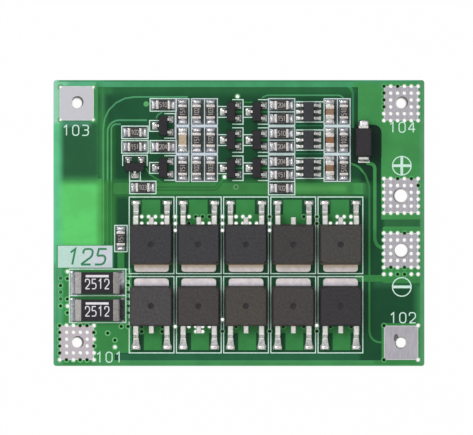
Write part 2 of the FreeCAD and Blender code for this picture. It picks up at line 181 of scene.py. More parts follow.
class Shape:
    """Points in millimetres and the faces between them, each with the number of its finish."""

    def __init__(self):
        self.points, self.faces, self.finishes = [], [], []

    def add(self, points, faces, finishes):
        start = len(self.points)
        self.points += [Vector(point) for point in points]
        self.faces += [[start + corner for corner in face] for face in faces]
        self.finishes += finishes
        return self

    def stamp(self, other, matrix):
        return self.add([matrix @ point for point in other.points], other.faces, other.finishes)

    def loft(self, loops, finish=0, ring=False):
        """Joins loops of equally many points; the ends are capped, or joined to each other in a ring."""
        count = len(loops[0])
        rows = len(loops) if ring else len(loops) - 1
        faces = []
        for row in range(rows):
            a, b = row * count, (row + 1) % len(loops) * count
            faces += [[a + i, a + (i + 1) % count, b + (i + 1) % count, b + i] for i in range(count)]
        if not ring:
            faces += [list(range(count))[::-1], [rows * count + i for i in range(count)]]
        return self.add([point for loop in loops for point in loop], faces, [finish] * len(faces))

    def plate(self, outline, low, high, ease=0.0, finish=0):
        """An outline given a thickness, with its upper edge eased inwards."""
        centre = sum((Vector(point) for point in outline), Vector((0, 0))) / len(outline)
        share = 1 - ease / max((Vector(point) - centre).length for point in outline)
        eased = [centre + (Vector(point) - centre) * share for point in outline]
        loops = [[(*point, low) for point in outline], [(*point, high - ease) for point in outline],
                 [(*point, high) for point in eased]]
        return self.loft(loops, finish)

    def relief(self, layers, tops, base, finishes=None):
        """A closed plate on a flat base whose face steps up and down with the tags of its layers."""
        spots, tagged = carve(layers)
        facing = {edge: tops[tag] for triangle, tag in tagged for edge in edges(triangle)}
        numbers, faces, owners = {}, [], []

        def number(spot, height):
            return numbers.setdefault((spot, height), len(numbers))

        for triangle, tag in tagged:
            top = tops[tag]
            found = [[number(spot, top) for spot in triangle]]
            found.append([number(spot, base) for spot in triangle[::-1]])
            for a, b in edges(triangle):
                foot = facing.get((b, a), base)
                if abs(top - base) > abs(foot - base) + SAME_HEIGHT:
                    found.append([number(a, top), number(a, foot), number(b, foot), number(b, top)])
            faces += found
            owners += [finishes[tag] if finishes else 0] * len(found)
        return self.add([(*spots[spot], height) for spot, height in numbers], faces, owners)


def place_object(name, data):
    placed = bpy.data.objects.new(name, data)
    bpy.context.scene.collection.objects.link(placed)
    return placed


def make_piece(name, shape, finishes, hides=(), sharp=35.0):
    """The Blender object of a shape, which rides on the board and may stand for CAD nodes."""
    mesh = bpy.data.meshes.new(name)
    mesh.from_pydata([point * MM for point in shape.points], [], shape.faces)
    for finish in finishes:
        mesh.materials.append(finish)
    mesh.polygons.foreach_set("material_index", shape.finishes)
    work = bmesh.new()
    work.from_mesh(mesh)
    bmesh.ops.recalc_face_normals(work, faces=work.faces)
    work.to_mesh(mesh)
    work.free()
    mesh.shade_smooth()
    mesh.set_sharp_from_angle(angle=math.radians(sharp))
    piece = place_object(name, mesh)
    piece.modifiers.new("even_shading", "WEIGHTED_NORMAL").keep_sharp = True
    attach(piece, "root")
    if hides:
        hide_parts(*hides)
    return piece


def solids(node):
    """The lowest and highest corner of each separate solid of a CAD node, in millimetres."""
    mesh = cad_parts[node].data
    spots = {}
    index = [spots.setdefault(tuple(round(value / MM, 3) for value in vertex.co), len(spots))
             for vertex in mesh.vertices]
    leader = list(range(len(spots)))

    def find(spot):
        while leader[spot] != spot:
            spot = leader[spot]
        return spot

    for polygon in mesh.polygons:
        first = find(index[polygon.vertices[0]])
        for vertex in polygon.vertices[1:]:
            leader[find(index[vertex])] = first
    groups = {}
    for place, spot in spots.items():
        groups.setdefault(find(spot), []).append(place)
    return [(Vector(map(min, *group)), Vector(map(max, *group))) for group in groups.values()]


def box_of(node):
    """The centre and the size of a CAD node's box, in millimetres."""
    low, high = (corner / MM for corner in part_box(node))
    return (low + high) / 2, high - low


def turned(x, y, z, angle=0.0):
    """A turn about Z in degrees, then a move."""
    return Matrix.Translation((x, y, z)) @ Matrix.Rotation(math.radians(angle), 4, "Z")


# Shader nodes

def fill(node, inputs):
    """Sets inputs of a node to values, or links them to the outputs of others."""
    for socket, source in inputs:
        if hasattr(source, "is_output"):
            node.id_data.links.new(source, node.inputs[socket])
        else:
            node.inputs[socket].default_value = source
    return node


def add_node(tree, kind, inputs=(), **settings):
    node = tree.nodes.new(kind)
    for name, value in settings.items():
        setattr(node, name, value)
    return fill(node, inputs)


def srgb(red, green, blue):
    """A screen colour, 0 to 255, as the linear colour that a shader takes."""
    values = [channel / 255 for channel in (red, green, blue)]
    return (*[v / 12.92 if v <= 0.04045 else ((v + 0.055) / 1.055) ** 2.4 for v in values], 1.0)


# Finishes

MIX_FACTOR, MIX_LOW, MIX_HIGH, MIX_RESULT = 0, 6, 7, 2
TONE_START, TONE_END = 0.35, 0.65
EVEN = (1.0, 1.0, 1.0)


class Finish:
    """A node material on one Principled shader, patterned in the object's own space."""

    def __init__(self, name, colour, roughness, metallic=0.0, specular=0.5):
        self.material = bpy.data.materials.new(name)
        self.material.use_nodes = True
        self.tree = self.material.node_tree
        self.colour = colour
        self.shader = fill(self.tree.nodes["Principled BSDF"],
                           [("Base Color", srgb(*colour)), ("Roughness", roughness), ("Metallic", metallic),
                            ("Specular IOR Level", specular)])
        self.place = self.add("ShaderNodeTexCoord").outputs["Object"]

    def add(self, kind, inputs=(), **settings):
        return add_node(self.tree, kind, inputs, **settings)

    def noise(self, size, detail=3.0, stretch=EVEN):
        """A noise whose spots are about a size across."""
        spread = self.add("ShaderNodeMapping", [("Vector", self.place), ("Scale", stretch)])
        return self.add("ShaderNodeTexNoise", [("Vector", spread.outputs[0]), ("Scale", 1 / (size * MM)),
                                               ("Detail", detail)]).outputs["Fac"]

    def tones(self, factor, colour, spread):
        """A colour that is a little darker where the factor is low and lighter where it is high."""
        node = self.add("ShaderNodeValToRGB", [("Fac", factor)])
        ends = ((TONE_START, 1 - spread), (TONE_END, 1 + spread))
        for element, (position, share) in zip(node.color_ramp.elements, ends):
            element.position = position
            element.color = srgb(*[min(255, channel * share) for channel in colour])
        return node.outputs["Color"]

    def mottle(self, size, spread, stretch=EVEN):
        return self.tones(self.noise(size, stretch=stretch), self.colour, spread)

    def fields(self, tone, places, factor, spread):
        """Other colours over boxes of the board's plan: left, right, bottom, top, soft edge, colour."""
        for *box, colour in places:
            tone = self.mix(self.soft_box(*box), tone, self.tones(factor, colour, spread))
        return tone

    def mix(self, factor, low, high):
        node = self.add("ShaderNodeMix", [(MIX_FACTOR, factor), (MIX_LOW, low), (MIX_HIGH, high)],
                        data_type="RGBA")
        return node.outputs[MIX_RESULT]

    def soft_box(self, left, right, bottom, top, soft):
        """A factor of 1 inside a box of the board's plan, falling to 0 over its soft edge."""
        axes = self.add("ShaderNodeSeparateXYZ", [("Vector", self.place)]).outputs
        factor = 1.0
        sides = (("X", left, soft), ("X", right, -soft), ("Y", bottom, soft), ("Y", top, -soft))
        for axis, edge, inward in sides:
            fall = self.add("ShaderNodeMapRange",
                            [("Value", axes[axis]), ("From Min", (edge - inward) * MM),
                             ("From Max", (edge + inward) * MM)], interpolation_type="SMOOTHSTEP")
            product = self.add("ShaderNodeMath", [(0, fall.outputs[0]), (1, factor)], operation="MULTIPLY")
            factor = product.outputs[0]
        return factor

    def paint(self, colour):
        fill(self.shader, [("Base Color", colour)])

    def rough(self, size, low, high):
        """Roughness that wanders between two values."""
        spread = self.add("ShaderNodeMapRange",
                          [("Value", self.noise(size)), ("To Min", low), ("To Max", high)])
        fill(self.shader, [("Roughness", spread.outputs[0])])

    def bump(self, size, depth, stretch=EVEN):
        node = self.add("ShaderNodeBump",
                        [("Height", self.noise(size, 2.0, stretch)), ("Distance", depth * MM)])
        fill(self.shader, [("Normal", node.outputs[0])])


def plain(name, colour, roughness, metallic=0.0, specular=0.5, size=0.6, spread=0.06, depth=0.004):
    """A finish with a little unevenness in its colour, gloss and surface."""
    finish = Finish(name, colour, roughness, metallic, specular)
    finish.paint(finish.mottle(size, spread))
    finish.rough(size * 2, roughness * 0.8, min(1.0, roughness * 1.2))
    finish.bump(size / 2, depth)
    return finish.material


# Plain finishes with the gloss of bare metal, and with that of matt coats

def metal(name, colour, roughness, size, spread=0.06, depth=0.004):
    return plain(name, colour, roughness, 1.0, 0.5, size, spread, depth)


def matt(name, colour, roughness, size=0.6, spread=0.06, depth=0.004):
    return plain(name, colour, roughness, 0.0, 0.2, size, spread, depth)


def tinted(name, colour, places, roughness, metallic=0.0, specular=0.2, size=0.35, spread=0.06, depth=0.006):
    """A finish like plain whose colour changes from place to place."""
    finish = Finish(name, colour, roughness, metallic, specular)
    cloud = finish.noise(size)
    finish.paint(finish.fields(finish.tones(cloud, colour, spread), places, cloud, spread))
    finish.bump(size / 2, depth)
    return finish.material


def solder_mask(name, colour, places):
    """Green lacquer, lighter or darker over broad fields, partly by the copper that lies below it and partly
    as painted light and painted shade.
    """
    return tinted(name, colour, places, 0.28, specular=0.12, size=2.5, spread=0.03, depth=0.004)


# Fields of colour: left, right, bottom, top, soft edge, colour
# On the lacquer over bare laminate: partly its own tone, partly painted light, with lighter board edges as
# painted reflection and darker fields beside the diode as painted shade
LAMINATE_TONES_AND_LIGHT = [
    (-28.0, 28.0, 20.95, 22.0, 0.15, (78, 158, 114)),
    (-28.0, 28.0, -22.0, -20.95, 0.15, (84, 160, 100)),
    (-21.5, -19.6, 15.0, 20.2, 0.6, (42, 102, 64)),
    (-19.2, -9.0, 14.6, 19.0, 0.6, (29, 82, 52)),
    (-21.6, -19.5, -3.0, 6.3, 0.5, (62, 138, 68)),
    (-21.0, -19.6, 6.2, 16.5, 0.5, (44, 110, 60)),
    (-19.6, -18.3, -3.0, 6.3, 0.5, (48, 118, 56)),
    (-19.6, -18.3, 6.3, 15.0, 0.3, (34, 94, 48)),
    (-20.0, 17.4, 19.0, 20.8, 0.8, (38, 98, 58)),
    (-28.0, -18.8, 19.2, 20.3, 0.5, (46, 114, 64)),
    (-20.45, -19.95, 6.3, 20.0, 0.2, (54, 122, 70)),
    (-18.0, 17.9, -20.6, -19.3, 0.4, (38, 98, 66)),
    (-19.4, 19.4, 3.9, 6.4, 0.5, (46, 110, 58)),
    (16.6, 21.3, 8.6, 14.8, 0.5, (20, 44, 34)),
    (18.0, 21.0, 6.0, 9.5, 0.6, (18, 54, 36)),
    (26.4, 28.0, -15.5, -8.6, 1.0, (60, 138, 84)),
    (20.0, 27.0, -9.4, -8.2, 0.6, (42, 100, 62)),
    (21.5, 27.3, -0.9, 0.9, 0.3, (44, 102, 62)),
    (-27.2, -18.6, -6.8, -3.2, 0.2, (56, 134, 92)),
    (-28.0, -27.0, -22.0, 22.0, 0.2, (96, 194, 140)),
    (-28.0, -26.8, -23.0, -6.0, 0.8, (80, 156, 112)),
    (-28.4, -26.8, 14.8, 22.0, 0.4, (150, 208, 180)),
    (26.9, 28.0, -22.0, 22.0, 0.2, (82, 148, 102)),
]
# On the lacquer over copper: partly the copper's tone, partly painted light, with a lighter left side and
# lighter board edges as painted light and painted reflection
COPPER_TONES_AND_LIGHT = [
    (-20.6, -18.4, 6.3, 20.0, 0.5, (80, 156, 100)),
    (-28.0, 29.0, 20.1, 22.0, 0.15, (68, 150, 102)),
    (-28.0, -17.0, 20.1, 22.0, 0.8, (78, 162, 116)),
    (-28.0, -20.4, -3.5, 6.15, 0.9, (94, 200, 106)),
    (-21.0, -19.8, -3.5, 6.3, 0.5, (78, 168, 86)),
    (-28.0, -20.6, 6.15, 21.0, 0.9, (60, 134, 76)),
    (-26.6, -20.8, 6.8, 14.9, 0.6, (38, 92, 58)),
    (-26.5, -22.0, 14.3, 15.2, 0.4, (72, 134, 104)),
    (-28.0, -21.2, 20.2, 22.0, 0.2, (90, 172, 128)),
    (-28.4, -25.4, 20.2, 22.0, 0.6, (124, 196, 160)),
    (-28.0, -26.4, -22.0, 21.0, 0.7, (92, 190, 134)),
    (-28.0, -26.6, -23.0, -6.0, 0.8, (72, 142, 98)),
    (-28.4, -26.6, 14.8, 20.8, 0.4, (148, 206, 176)),
    (-22.0, 20.0, -20.9, -20.3, 0.12, (66, 140, 84)),
    (-19.0, 19.0, 4.3, 5.9, 0.5, (58, 126, 66)),
    (7.4, 16.0, 4.6, 5.6, 0.5, (76, 150, 80)),
    (8.0, 17.0, 9.8, 15.1, 0.3, (44, 112, 78)),
    (-18.9, -7.0, 14.4, 19.2, 0.5, (78, 150, 106)),
    (17.0, 29.0, -1.0, 20.8, 0.5, (65, 143, 78)),
    (2.0, 15.8, 18.6, 19.2, 0.2, (76, 148, 102)),
    (16.5, 17.3, 13.0, 19.6, 0.15, (54, 116, 78)),
    (18.4, 19.75, -1.5, 8.4, 0.15, (56, 118, 70)),
    (26.9, 28.0, -22.0, 22.0, 0.2, (84, 150, 104)),
]
RING_FIELDS = [
    (-28.0, -15.0, -22.0, -6.0, 1.0, (106, 184, 116)),
    (-1.5, 0.5, 4.5, 6.0, 0.2, (130, 176, 130)),
]
# Painted shade, darker still over the power transistors
SHADE_FIELDS = [(-20.0, 20.0, -20.0, 4.0, 0.1, (30, 64, 50))]
INK_FIELDS = [
    (-9.8, -2.9, 5.0, 19.0, 0.5, (200, 214, 214)),
    (-9.6, -3.0, 9.6, 15.2, 0.5, (198, 208, 218)),
    (12.3, 16.8, 5.0, 19.0, 0.3, (202, 218, 220)),
    (4.2, 8.5, 6.2, 19.0, 0.2, (188, 208, 206)),
]
BLOCK_FIELDS = [(-22.4, -18.0, -7.0, -3.0, 2.6, (206, 206, 220))]
TAB_TONES_AND_SHADOW = [
    (-18.0, 20.0, -7.6, -5.0, 0.1, (224, 216, 214)),
    # A brown band on the tab next to the case: painted shadow and painted reflection
    (-18.0, 20.0, -6.62, -5.0, 0.22, (206, 190, 172)),
    (-18.0, 20.0, -10.0, -8.95, 0.2, (222, 218, 228)),
]
SHUNT_FIELDS = [(-20.0, -15.0, -16.0, -6.0, 0.5, (158, 153, 150))]
CASE_TONES_AND_REFLECTION = [
    (4.5, 11.6, -8.0, 4.0, 0.1, (63, 60, 60)),
    (11.6, 20.0, -8.0, 4.0, 0.1, (70, 68, 65)),
    (-18.0, -9.4, -18.0, -8.0, 0.1, (73, 71, 72)),
    (-9.4, 11.6, -18.0, -8.0, 0.1, (73, 69, 65)),
    (-9.4, -2.5, -18.0, -8.0, 0.1, (68, 64, 63)),
    (4.5, 11.6, -18.0, -8.0, 0.1, (68, 64, 64)),
    (11.6, 20.0, -18.0, -8.0, 0.1, (54, 52, 54)),
    # A brown band at the case's end by the tab: painted reflection
    (-18.0, 20.0, -6.6, -5.96, 0.06, (112, 98, 86)),
]
SMALL_CASE_FIELDS = [
    (8.9, 11.8, 6.0, 18.6, 0.2, (55, 56, 60)),
    (16.5, 20.5, 9.0, 15.0, 0.2, (49, 46, 50)),
]
CAPACITOR_FIELDS = [
    (12.0, 15.0, 10.3, 14.3, 0.2, (136, 98, 72)),
    (12.0, 15.0, 6.0, 10.1, 0.2, (134, 106, 82)),
]

# Each finish has a colour and a roughness; metal and matt go on with the size, spread and depth of its spots
mask_laminate = solder_mask("solder_mask_on_laminate", (24, 74, 46), LAMINATE_TONES_AND_LIGHT)
mask_copper = solder_mask("solder_mask_on_copper", (56, 132, 70), COPPER_TONES_AND_LIGHT)
mask_ring = solder_mask("solder_mask_on_ring", (88, 164, 100), RING_FIELDS)
# Darker lacquer round the joints of the small parts: painted shade
mask_shaded = tinted("painted_shade_mask", (58, 68, 66), SHADE_FIELDS, 0.4, size=0.5, spread=0.2)
mask_under = solder_mask("solder_mask_underside", (44, 112, 64), [])
mask_plug = solder_mask("solder_mask_in_via", (16, 44, 26), [])
ink_white = tinted("white_ink", (204, 234, 220), INK_FIELDS, 0.55, spread=0.03)
ink_block = tinted("white_ink_block", (188, 218, 208), BLOCK_FIELDS, 0.55, spread=0.02)
ink_chip = matt("chip_marking", (156, 152, 148), 0.6, 0.2, 0.08)
ink_bright = matt("shunt_marking", (226, 222, 228), 0.6, 0.6, 0.03)
rim_tin = metal("land_rim_tin", (226, 236, 232), 0.36, 0.35, 0.04, 0.006)
# Painted shadow at the wire holes' edges and in the small pit
land_painted_shadow = matt("land_painted_shadow", (98, 96, 100), 0.5, 0.3, 0.15)
barrel_tin = metal("plated_barrel", (214, 216, 208), 0.4, 0.2)
# Lit and shaded copies of one solder: bright, half shaded and shaded are painted light and shade, the glint a
# painted highlight
solder = metal("solder", (240, 236, 236), 0.24, 0.5, 0.05, 0.02)
solder_painted_half_shade = metal("solder_painted_half_shade", (200, 201, 198), 0.34, 0.4, 0.1, 0.02)
solder_painted_shade = metal("solder_painted_shade", (166, 168, 172), 0.3, 0.4, 0.12, 0.03)
solder_glint = metal("solder_glint", (226, 224, 228), 0.22, 0.3, 0.12, 0.1)
lead_tin = metal("tinned_lead", (240, 238, 234), 0.34, 0.3, 0.05, 0.006)
tab_tin = tinted("tinned_tab", (240, 230, 232), TAB_TONES_AND_SHADOW, 0.42, metallic=1.0, size=0.9, spread=0.04)
end_tin = metal("chip_end", (230, 223, 219), 0.36, 0.2, 0.08, 0.008)
shunt_tin = tinted("shunt_end", (182, 178, 176), SHUNT_FIELDS, 0.45, metallic=1.0, size=0.5)
epoxy = tinted("moulded_epoxy", (60, 59, 62), CASE_TONES_AND_REFLECTION, 0.62, spread=0.08)
# Darker epoxy for the dimple's floor and wall: painted shade
epoxy_dimple_shade = matt("moulded_epoxy_dimple_shade", (44, 43, 45), 0.5, 0.35)
epoxy_small = tinted("moulded_epoxy_small", (43, 41, 44), SMALL_CASE_FIELDS, 0.6, size=0.25, spread=0.1)
ceramic_white = matt("alumina", (206, 204, 198), 0.7, 0.15, 0.05)
glaze_black = plain("overglaze", (54, 52, 54), 0.4, specular=0.25, size=0.25, spread=0.15)
shunt_black = matt("shunt_coat", (42, 40, 46), 0.5, 0.4, 0.1, 0.008)
capacitor_brown = tinted("capacitor_ceramic_brown", (143, 117, 96), CAPACITOR_FIELDS, 0.5, size=0.2,
                         spread=0.08)
capacitor_tan = plain("capacitor_ceramic_tan", (182, 163, 138), 0.5, size=0.2, spread=0.1)


def land_finish():
    """Levelled tin with faint brush lines; the lands at the left are a little lighter, as painted light."""
    finish = Finish("levelled_tin", (192, 188, 196), roughness=0.42, metallic=1.0)
    tone = finish.mottle(0.5, 0.04, stretch=(3.0, 0.4, 1.0))
    for bottom, top, colour in ((0.0, 22.0, (208, 208, 214)), (-22.0, 0.0, (206, 197, 204))):
        tone = finish.mix(finish.soft_box(-28.0, 0.0, bottom, top, 0.5), tone, srgb(*colour))
    finish.paint(tone)
    finish.bump(0.4, 0.008, stretch=(2.0, 0.5, 1.0))
    return finish.material


land_tin = land_finish()


def laminate_finish():
    """Glass cloth in pale green resin; its layers show as thin lines on the cut edges."""
    finish = Finish("laminate", (150, 178, 120), roughness=0.6, specular=0.2)
    finish.paint(finish.mottle(0.35, 0.12, stretch=(1.0, 1.0, 4.0)))
    finish.bump(0.15, 0.01, stretch=(1.0, 1.0, 5.0))
    return finish.material


laminate = laminate_finish()

# Terminals: node, side in x and y, hole, rows of vias or 0 for the corners only, via radius, and the closed
# vias as columns from the left and rows from the top
TERMINALS = (
    ("tap_lands", -1, -1, TAP_HOLE, 6, VIA_RADIUS,
     {(0, 0), (0, 1), (0, 2), (0, 3), (0, 4), (3, 0), (4, 0), (5, 1), (5, 3), (1, 5), (3, 5), (4, 5)}),
    ("tap_lands", 1, -1, TAP_HOLE, 0, VIA_RADIUS, {(0, 0), (0, 5)}),
    ("tap_lands", -1, 1, TAP_HOLE, 0, CORNER_RADIUS, set()),
    ("tap_lands", 1, 1, TAP_HOLE, 6, VIA_RADIUS, {(0, 0), (2, 0), (0, 1), (0, 2), (0, 3)}),
    ("load_lands", 1, 1, LOAD_HOLE, 6, VIA_RADIUS, {(2, 0), (4, 0), (5, 1)}),
    ("load_lands", 1, -1, LOAD_HOLE, 7, VIA_RADIUS, {(3, 0), (1, 5), (3, 5), (2, 6), (3, 6)}),
)
# Columns and rows of a grid that the wire hole takes
HOLE_STEPS = (2, 3)


def via_steps(rows):
    """Column and row of each via of a terminal: a grid round the wire hole, or the corners when rows is 0."""
    if not rows:
        return [(column, row) for column in (0, GRID_VIAS - 1) for row in (0, GRID_VIAS - 1)]
    return [(column, row) for column in range(GRID_VIAS) for row in range(rows)
            if not (column in HOLE_STEPS and row in HOLE_STEPS)]


def read_terminals():
    """Each terminal's centre, half side, hole radius and vias, as x, y and clear radius, 0 when closed."""
    found = []
    for node, side_x, side_y, hole, rows, radius, closed in TERMINALS:
        low, high = next(corners for corners in solids(node)
                         if corners[0].x * side_x > 0 and corners[0].y * side_y > 0)
        centre, half = (low + high) / 2, (high.x - low.x) / 2
        reach = half - CORNER_INSET if radius == CORNER_RADIUS else half
        pitch = 2 * reach / (GRID_VIAS - 1)
        vias = [(centre.x - reach + column * pitch, centre.y + reach - row * pitch,
                 radius * ((column, row) not in closed)) for column, row in via_steps(rows)]
        found.append((centre.x, centre.y, half, hole, vias))
    return found


terminals = read_terminals()
land_vias = [via for terminal in terminals for via in terminal[4]]

# Power transistor places, read from their cases
FET_COLUMNS = 5
FET_BOXES = [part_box(f"mosfet_upper_case_{number}") for number in range(1, FET_COLUMNS + 1)]
FET_X = [(low.x + high.x) / 2 / MM for low, high in FET_BOXES]
FET_PITCH = FET_X[1] - FET_X[0]

# Vias outside the lands. The rows start VIA_START steps to the left of each transistor's axis.
VIA_STEP = 1.016
VIA_START = 1.45
# Height of a row, and its marks under each of the five transistors: 1 is open, 0 closed and _ none
VIA_ROWS = (
    (0.94, ("1111", "1000", "111_", "___0", "_111")),
    (-0.05, ("1111", "0_11", "1111", "____", "1111")),
    (-15.36, ("0__0", "1111", "0___", "0__0", "0__0")),
    (-16.1, ("0__0", "_11_", "____", "____", "____")),
)
# Marks of the columns between one transistor and the next, from the top
VIA_COLUMNS = ("111", "111", "011", "00_")
# Single vias with whether each is open: in the lower gaps as gap number and y, and elsewhere as x and y
LOWER_GAP_VIAS = ((0, -15.36, True), (1, -14.32, True), (1, -16.05, False), (2, -16.05, False),
                  (3, -15.2, True), (3, -16.05, False))
OTHER_VIAS = ((-26.45, -9.27, False), (-26.45, -12.3, False), (-25.44, -7.2, True), (-25.44, -8.24, False),
              (-25.44, -11.28, False), (-25.44, -12.32, True), (-25.44, -13.3, False),
              (-17.45, -15.33, False), (-16.45, -15.33, False), (-19.46, -16.33, False),
              (-18.39, -17.37, False), (-18.39, -18.4, True), (-16.47, -9.2, False),
              (-0.21, 18.78, True), (-2.14, 6.83, True))


def read_free_vias():
    """The vias outside the lands, as x, y and clear radius, 0 when closed."""
    vias = list(OTHER_VIAS)
    for y, patterns in VIA_ROWS:
        for x, pattern in zip(FET_X, patterns):
            vias += [(x + (step - VIA_START) * VIA_STEP, y, mark == "1")
                     for step, mark in enumerate(pattern) if mark != "_"]
    for x, pattern in zip(FET_X, VIA_COLUMNS):
        vias += [(x + FET_PITCH / 2, VIA_ROWS[0][0] - row * VIA_STEP, mark == "1")
                 for row, mark in enumerate(pattern) if mark != "_"]
    vias += [(FET_X[gap] + FET_PITCH / 2, y, opened) for gap, y, opened in LOWER_GAP_VIAS]
    return [(x, y, FREE_RADIUS * opened) for x, y, opened in vias]


free_vias = read_free_vias()
# Rings under the lacquer with no hole left to see
covered_rings = [(-0.43, 5.34), (-26.45, -8.18), (-26.45, -10.25), (-26.45, -11.26)]
covered_rings += [(-16.47, -7.2 - step * VIA_STEP) for step in (0, 1, 3, 4, 5, 6)]

# Width of the bare line round a trace that crosses a pour
TRACE_GAP = 0.18


def copper_layers():
    """The copper pattern of the component side, as layers for carve; later ones cover earlier ones."""
    layers = []

    def pour(outline):
        layers.append(("copper", outline))

    def bare(outline):
        layers.append(("laminate", outline))

    def trace(points, width, radius=0.0, clear=False):
        line = rounded(points, radius) if radius else points
        if clear:
            bare(band(line, width + 2 * TRACE_GAP))
        pour(band(line, width))

    # Broad pours: left, lower left, right, below the minus terminal, and the two edge strips
    pour(rectangle(-27.1, -20.9, 6.5, 20.3, 0.2))
    pour(rectangle(-27.1, -20.35, -3.3, 6.6))
    pour(rectangle(-27.1, -15.9, -20.75, -6.7, 0.2))
    bare(rectangle(-18.4, -15.0, -20.8, -19.25, 0.5))
    pour(rectangle(-27.1, 27.05, -20.95, -20.35, 0.2))
    pour(rectangle(-27.1, 27.05, 20.15, 20.95, 0.2))
    pour(rectangle(17.65, 27.05, 0.52, 20.5, 0.2))
    bare(rectangle(17.2, 21.1, -1.0, 14.0, 0.3))
    bare(rectangle(15.9, 21.15, 8.7, 14.6, 1.2))
    pour(rectangle(21.3, 27.05, -8.9, -0.52, 0.3))
    pour(rectangle(21.15, 27.05, -20.8, -14.85, 0.25))
    pour(rectangle(17.2, 21.6, -8.7, -7.7, 0.3))
    # The bus above the power transistors and its branch to the minus terminal
    pour(rectangle(-18.65, 18.8, 4.3, 5.95, 0.3))
    trace([(18.9, 8.9), (20.15, 8.7), (20.15, -3.7), (23.2, -3.8)], 0.5, 1.45)
    # Traces from the tap terminals
    trace([(-20.12, -3.2), (-20.12, 18.7), (-7.6, 18.7)], 0.24, 4.6)
    trace([(-19.48, -3.2), (-19.48, 15.25), (-13.6, 15.25)], 0.26, 1.7)
    trace([(-18.92, -3.2), (-18.92, 14.65), (-17.5, 14.65)], 0.24, 1.2)
    trace([(16.5, 8.85), (17.7, 8.4), (18.75, 7.2), (19.35, 5.4), (19.35, -17.7), (22.6, -17.7)], 0.3, 1.6)
    trace([(-12.3, 5.1), (-3.4, 5.1), (-2.2, 6.7)], 0.25, 0.8, clear=True)
    trace([(-13.8, 8.1), (-13.2, 7.2), (-11.4, 6.0)], 0.22, 0.6)
    trace([(-12.3, 15.5), (-12.0, 16.1), (-11.4, 16.4)], 0.22, 0.4)
    # The strip that bounds the control circuit, and lines within it
    trace([(10.0, 20.55), (16.9, 20.55), (16.9, 14.1)], 0.36, 1.5)
    trace([(3.4, 18.6), (4.2, 18.95), (15.0, 18.95), (15.7, 18.4)], 0.22, 0.5)
    trace([(-0.1, 18.0), (1.1, 17.9), (2.0, 17.9)], 0.2)
    for y in (14.45, 10.3):
        trace([(8.4, y), (12.4, y)], 0.22)
    for y in (16.48, 12.3, 8.12):
        trace([(-0.5, y), (0.7, y)], 0.2)
        trace([(3.2, y), (4.4, y)], 0.2)
    # Drain copper and its patches between the leads
    for x in FET_X:
        for left, right, bottom, top in ((-1.5, 1.3, -0.6, 3.45), (-1.15, 1.5, -18.85, -14.7),
                                         (-1.9, 1.9, -1.2, 1.3), (-1.9, 1.9, -16.3, -14.2)):
            pour(rectangle(x + left, x + right, bottom, top))
    pour(rectangle(-18.0, -17.0, -6.7, -4.3))
    layers.append(("ring", disc(-13.75, 17.66, 0.4)))
    for x, y in covered_rings:
        layers.append(("ring", disc(x, y, VIA_RING - 0.06)))
        bare(disc(x, y, VIA_RING - 0.17))
    return layers


# How far the painted shade at a transistor's lead lies out from the case, and its half side
SHADE_STEP = 1.25
SHADE_REACH = 0.6


def painted_shade_layers():
    """Places round the joints of the small parts where the mask is darkened, as painted shade."""
    boxes = chip_boxes()
    for places in ic_places.values():
        boxes += [(x - 1.85, x + 1.9, y - 1.45, y + 1.45) for x, y, *_ in places]
    outlines = [rectangle(*box) for box in boxes]
    for places in transistor_places.values():
        for x, y, half_x, half_y, feet in places:
            step_x, step_y = (SHADE_STEP, 1) if half_y > half_x else (1, SHADE_STEP)
            outlines += [square(x + foot_x * step_x, y + foot_y * step_y, SHADE_REACH)
                         for foot_x, foot_y in feet]
    return [("shade_patch", outline) for outline in outlines]


def board_layer(tag):
    return [(tag, rectangle(BOARD_LOW.x, BOARD_HIGH.x, BOARD_LOW.y, BOARD_HIGH.y, BOARD_CORNER))]


def terminal_layers():
    """The squares that the lacquer leaves bare."""
    return [(None, square(x, y, half)) for x, y, half, _, _ in terminals]


def hole_layers():
    """Every drilled hole, as layers that carve takes away; a closed via shows less of its hole."""
    holes = [disc(x, y, (clear or CLOSED_RADIUS) + BARREL_WALL, VIA_SIDES)
             for x, y, clear in land_vias + free_vias]
    holes += [disc(x, y, hole + BARREL_WALL, HOLE_SIDES) for x, y, _, hole, _ in terminals]
    return [(None, hole) for hole in holes]


# Pours of the underside: left, right, bottom, top
UNDER_POURS = ((-27.0, -15.5, -20.7, 20.7), (-15.0, 18.6, -20.7, -7.9), (-15.0, 18.6, -7.5, 5.0),
               (19.1, 27.0, 0.2, 20.7), (19.1, 27.0, -20.7, -0.2))


def make_board():
    core = Shape().relief(board_layer("core") + hole_layers(), {"core": CORE_TOP}, COPPER_RISE)
    make_piece("laminate_core", core, [laminate], ["circuit_board"])

    rings = [("ring", disc(x, y, VIA_RING, VIA_SIDES)) for x, y, _ in free_vias + land_vias]
    tops = {"laminate": BARE_TOP, "copper": BOARD_TOP, "ring": BOARD_TOP, "shade_patch": SHADE_TOP}
    top = Shape().relief(board_layer("laminate") + copper_layers() + painted_shade_layers() + rings + terminal_layers()
                         + hole_layers(), tops, CORE_TOP, {tag: number for number, tag in enumerate(tops)})
    make_piece("solder_mask_top", top, [mask_laminate, mask_copper, mask_ring, mask_shaded])

    pours = [("copper", rectangle(*pour, 0.5)) for pour in UNDER_POURS]
    under = Shape().relief(board_layer("laminate") + pours + terminal_layers() + hole_layers(),
                           {"laminate": COPPER_RISE - LAYER_STEP, "copper": 0.0}, COPPER_RISE)
    make_piece("solder_mask_bottom", under, [mask_under])


# How far the painted shadow at the edge of each wire hole stands to one side, in the order of the terminals
HOLE_SHADOWS = ((0.17, 0.12), (-0.03, 0.0), (0.12, 0.19), (0.14, 0.13), (-0.09, 0.02), (0.02, -0.03))
# The small pit in the lower right land, painted as shadow: its place beside the hole, and its half sizes
SHADOW_X, SHADOW_Y, SHADOW_WIDE, SHADOW_HIGH = -0.74, 0.68, 0.34, 0.62
RIM_WIDTH, RIM_RISE = 0.1, 0.02


